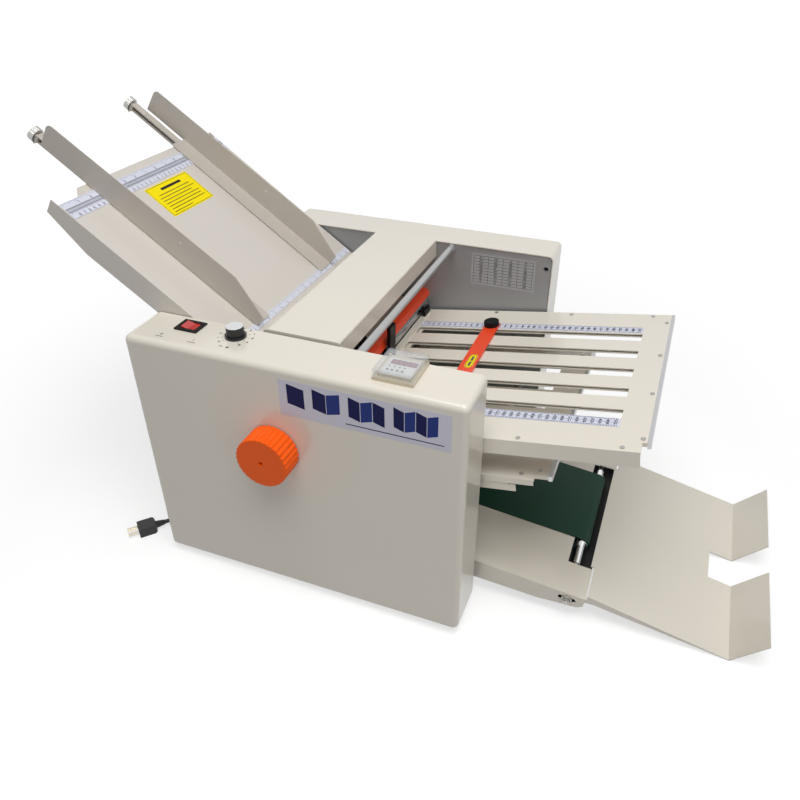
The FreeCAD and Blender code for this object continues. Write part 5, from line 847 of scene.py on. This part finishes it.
def addDialMarks(facts):
    x, y = facts["centre"]
    centre = np.array([x, y])
    quads = []
    for step in range(facts["steps"] + 1):
        angle = math.radians(facts["first"] + (facts["last"] - facts["first"]) * step / facts["steps"])
        way = np.array([math.cos(angle), math.sin(angle)])
        quads.append(strokeQuads([centre + way * facts["tickFrom"]], [centre + way * facts["tickTo"]],
                                 facts["tickWidth"]))
        quads += numberQuads(step, centre + way * facts["radius"], facts["height"], (0, 1), facts["stroke"])
    half, level = facts["signHalf"], y - facts["signDown"]
    for sign in (x - facts["signAside"], x + facts["signAside"]):
        quads.append(strokeQuads([(sign - half, level)], [(sign + half, level)], facts["signWidth"]))
    plus = x + facts["signAside"]
    quads.append(strokeQuads([(plus, level - half)], [(plus, level + half)], facts["signWidth"]))
    addStrokes("dialMarks", "coverTop", quads, facts["lift"], inks["black"])
    low, high = facts["pointer"]
    pointer = [strokeQuads([(x, y + low)], [(x, y + high)], facts["pointerWidth"])]
    addStrokes("dialPointer", "dialSkirt", pointer, facts["lift"], inks["white"], "speed_dial")


# Off ring and on bar in front of the switch, each over a short line.
switchMarkFacts = {"off": (50.0, 22.6), "on": (102.0, 23.0), "size": 1.7, "ink": 0.9, "barHalf": 2.0,
                   "lineHalf": 5.5, "lineDown": 6.2, "lineWidth": 1.1, "lift": 0.08}


def addSwitchMarks(facts):
    quads = ovalQuads(facts["off"], facts["size"], 0.0, facts["ink"], 12)
    x, y = facts["on"]
    quads.append(strokeQuads([(x, y - facts["barHalf"])], [(x, y + facts["barHalf"])], facts["ink"]))
    for x, y in (facts["off"], facts["on"]):
        level = y - facts["lineDown"]
        quads.append(strokeQuads([(x - facts["lineHalf"], level)], [(x + facts["lineHalf"], level)],
                                 facts["lineWidth"]))
    addStrokes("switchMarks", "coverTop", quads, facts["lift"], inks["black"])


# Counter face under the lid: pale panel, display window with four digits, and two rows of keys with a dot
# each. Thin grey metal lines on the lid's top mark its rim; their grey and shine are painted shade and highlight of
# the clear walls. Dots are given as their circle's radius and line width.
counterFacts = {"panel": ((374.5, 23.5), (416.5, 64.0)), "panelCorner": 1.5,
                "window": ((379.6, 49.2), (415.0, 60.6)), "windowCorner": 0.8, "windowLift": 0.3,
                "digits": "0000", "digitHeight": 6.4, "digitStroke": 0.8, "digitLift": 0.36,
                "digitLead": 0.7, "digitSpare": 0.4,
                "keyColumns": (381.4, 388.2, 395.0, 401.8), "keyRows": (43.7, 34.6), "key": (5.4, 5.6),
                "keyCorner": 2.4, "keyLift": 0.5, "dots": ((0.9, 0.9), (1.15, 1.4)), "dotLift": 0.56,
                "lid": ((368.9, 17.9), (422.1, 74.6)), "rims": ((0.0, 0.7), (2.2, 0.4)), "rimLift": 0.04}


def addCounterFace(facts):
    low, high = facts["panel"]
    addSticker("counterPanel", "counterFace", low, high, facts["panelCorner"], inks["palePlate"])
    low, high = facts["window"]
    addSticker("counterWindow", "counterFace", low, high, facts["windowCorner"], inks["display"],
               facts["windowLift"])
    pitch = (high[0] - low[0]) / (len(facts["digits"]) + facts["digitSpare"])
    quads = []
    for index, digit in enumerate(facts["digits"]):
        spot = (low[0] + pitch * (index + facts["digitLead"]), (low[1] + high[1]) / 2)
        quads += numberQuads(int(digit), spot, facts["digitHeight"], (0, 1), facts["digitStroke"])
    addStrokes("counterDigits", "counterFace", quads, facts["digitLift"], inks["litDigit"])
    wide, tall = facts["key"]
    dots = []
    for row, y in enumerate(facts["keyRows"]):
        radius, width = facts["dots"][row]
        for column, x in enumerate(facts["keyColumns"]):
            addSticker("counterKey%d%d" % (row, column), "counterFace", (x - wide / 2, y - tall / 2),
                       (x + wide / 2, y + tall / 2), facts["keyCorner"], inks["white"],
                       facts["keyLift"])
            dots += ovalQuads((x, y), radius, 0.0, width, 8)
    addStrokes("counterKeyDots", "counterFace", dots, facts["dotLift"], inks["grey"])
    # Painted edge light: grey metal lines round the clear lid's top stand in for the shade and highlight of its
    # walls.
    low, high = facts["lid"]
    rims = [outlineQuads(low, high, inset, width) for inset, width in facts["rims"]]
    addStrokes("counterLidEdgeLight", "lidTop", rims, facts["rimLift"], inks["lidEdgeLight"], "counter_lid")


addRollerTray(shadeSheetFacts)
addFrontLabel(labelFacts)
addChart(chartFacts)
addTrayNotice(noticeFacts)
addStopSticker(stopStickerFacts)
addDialMarks(dialMarkFacts)
addSwitchMarks(switchMarkFacts)
addCounterFace(counterFacts)
print("labels laid")
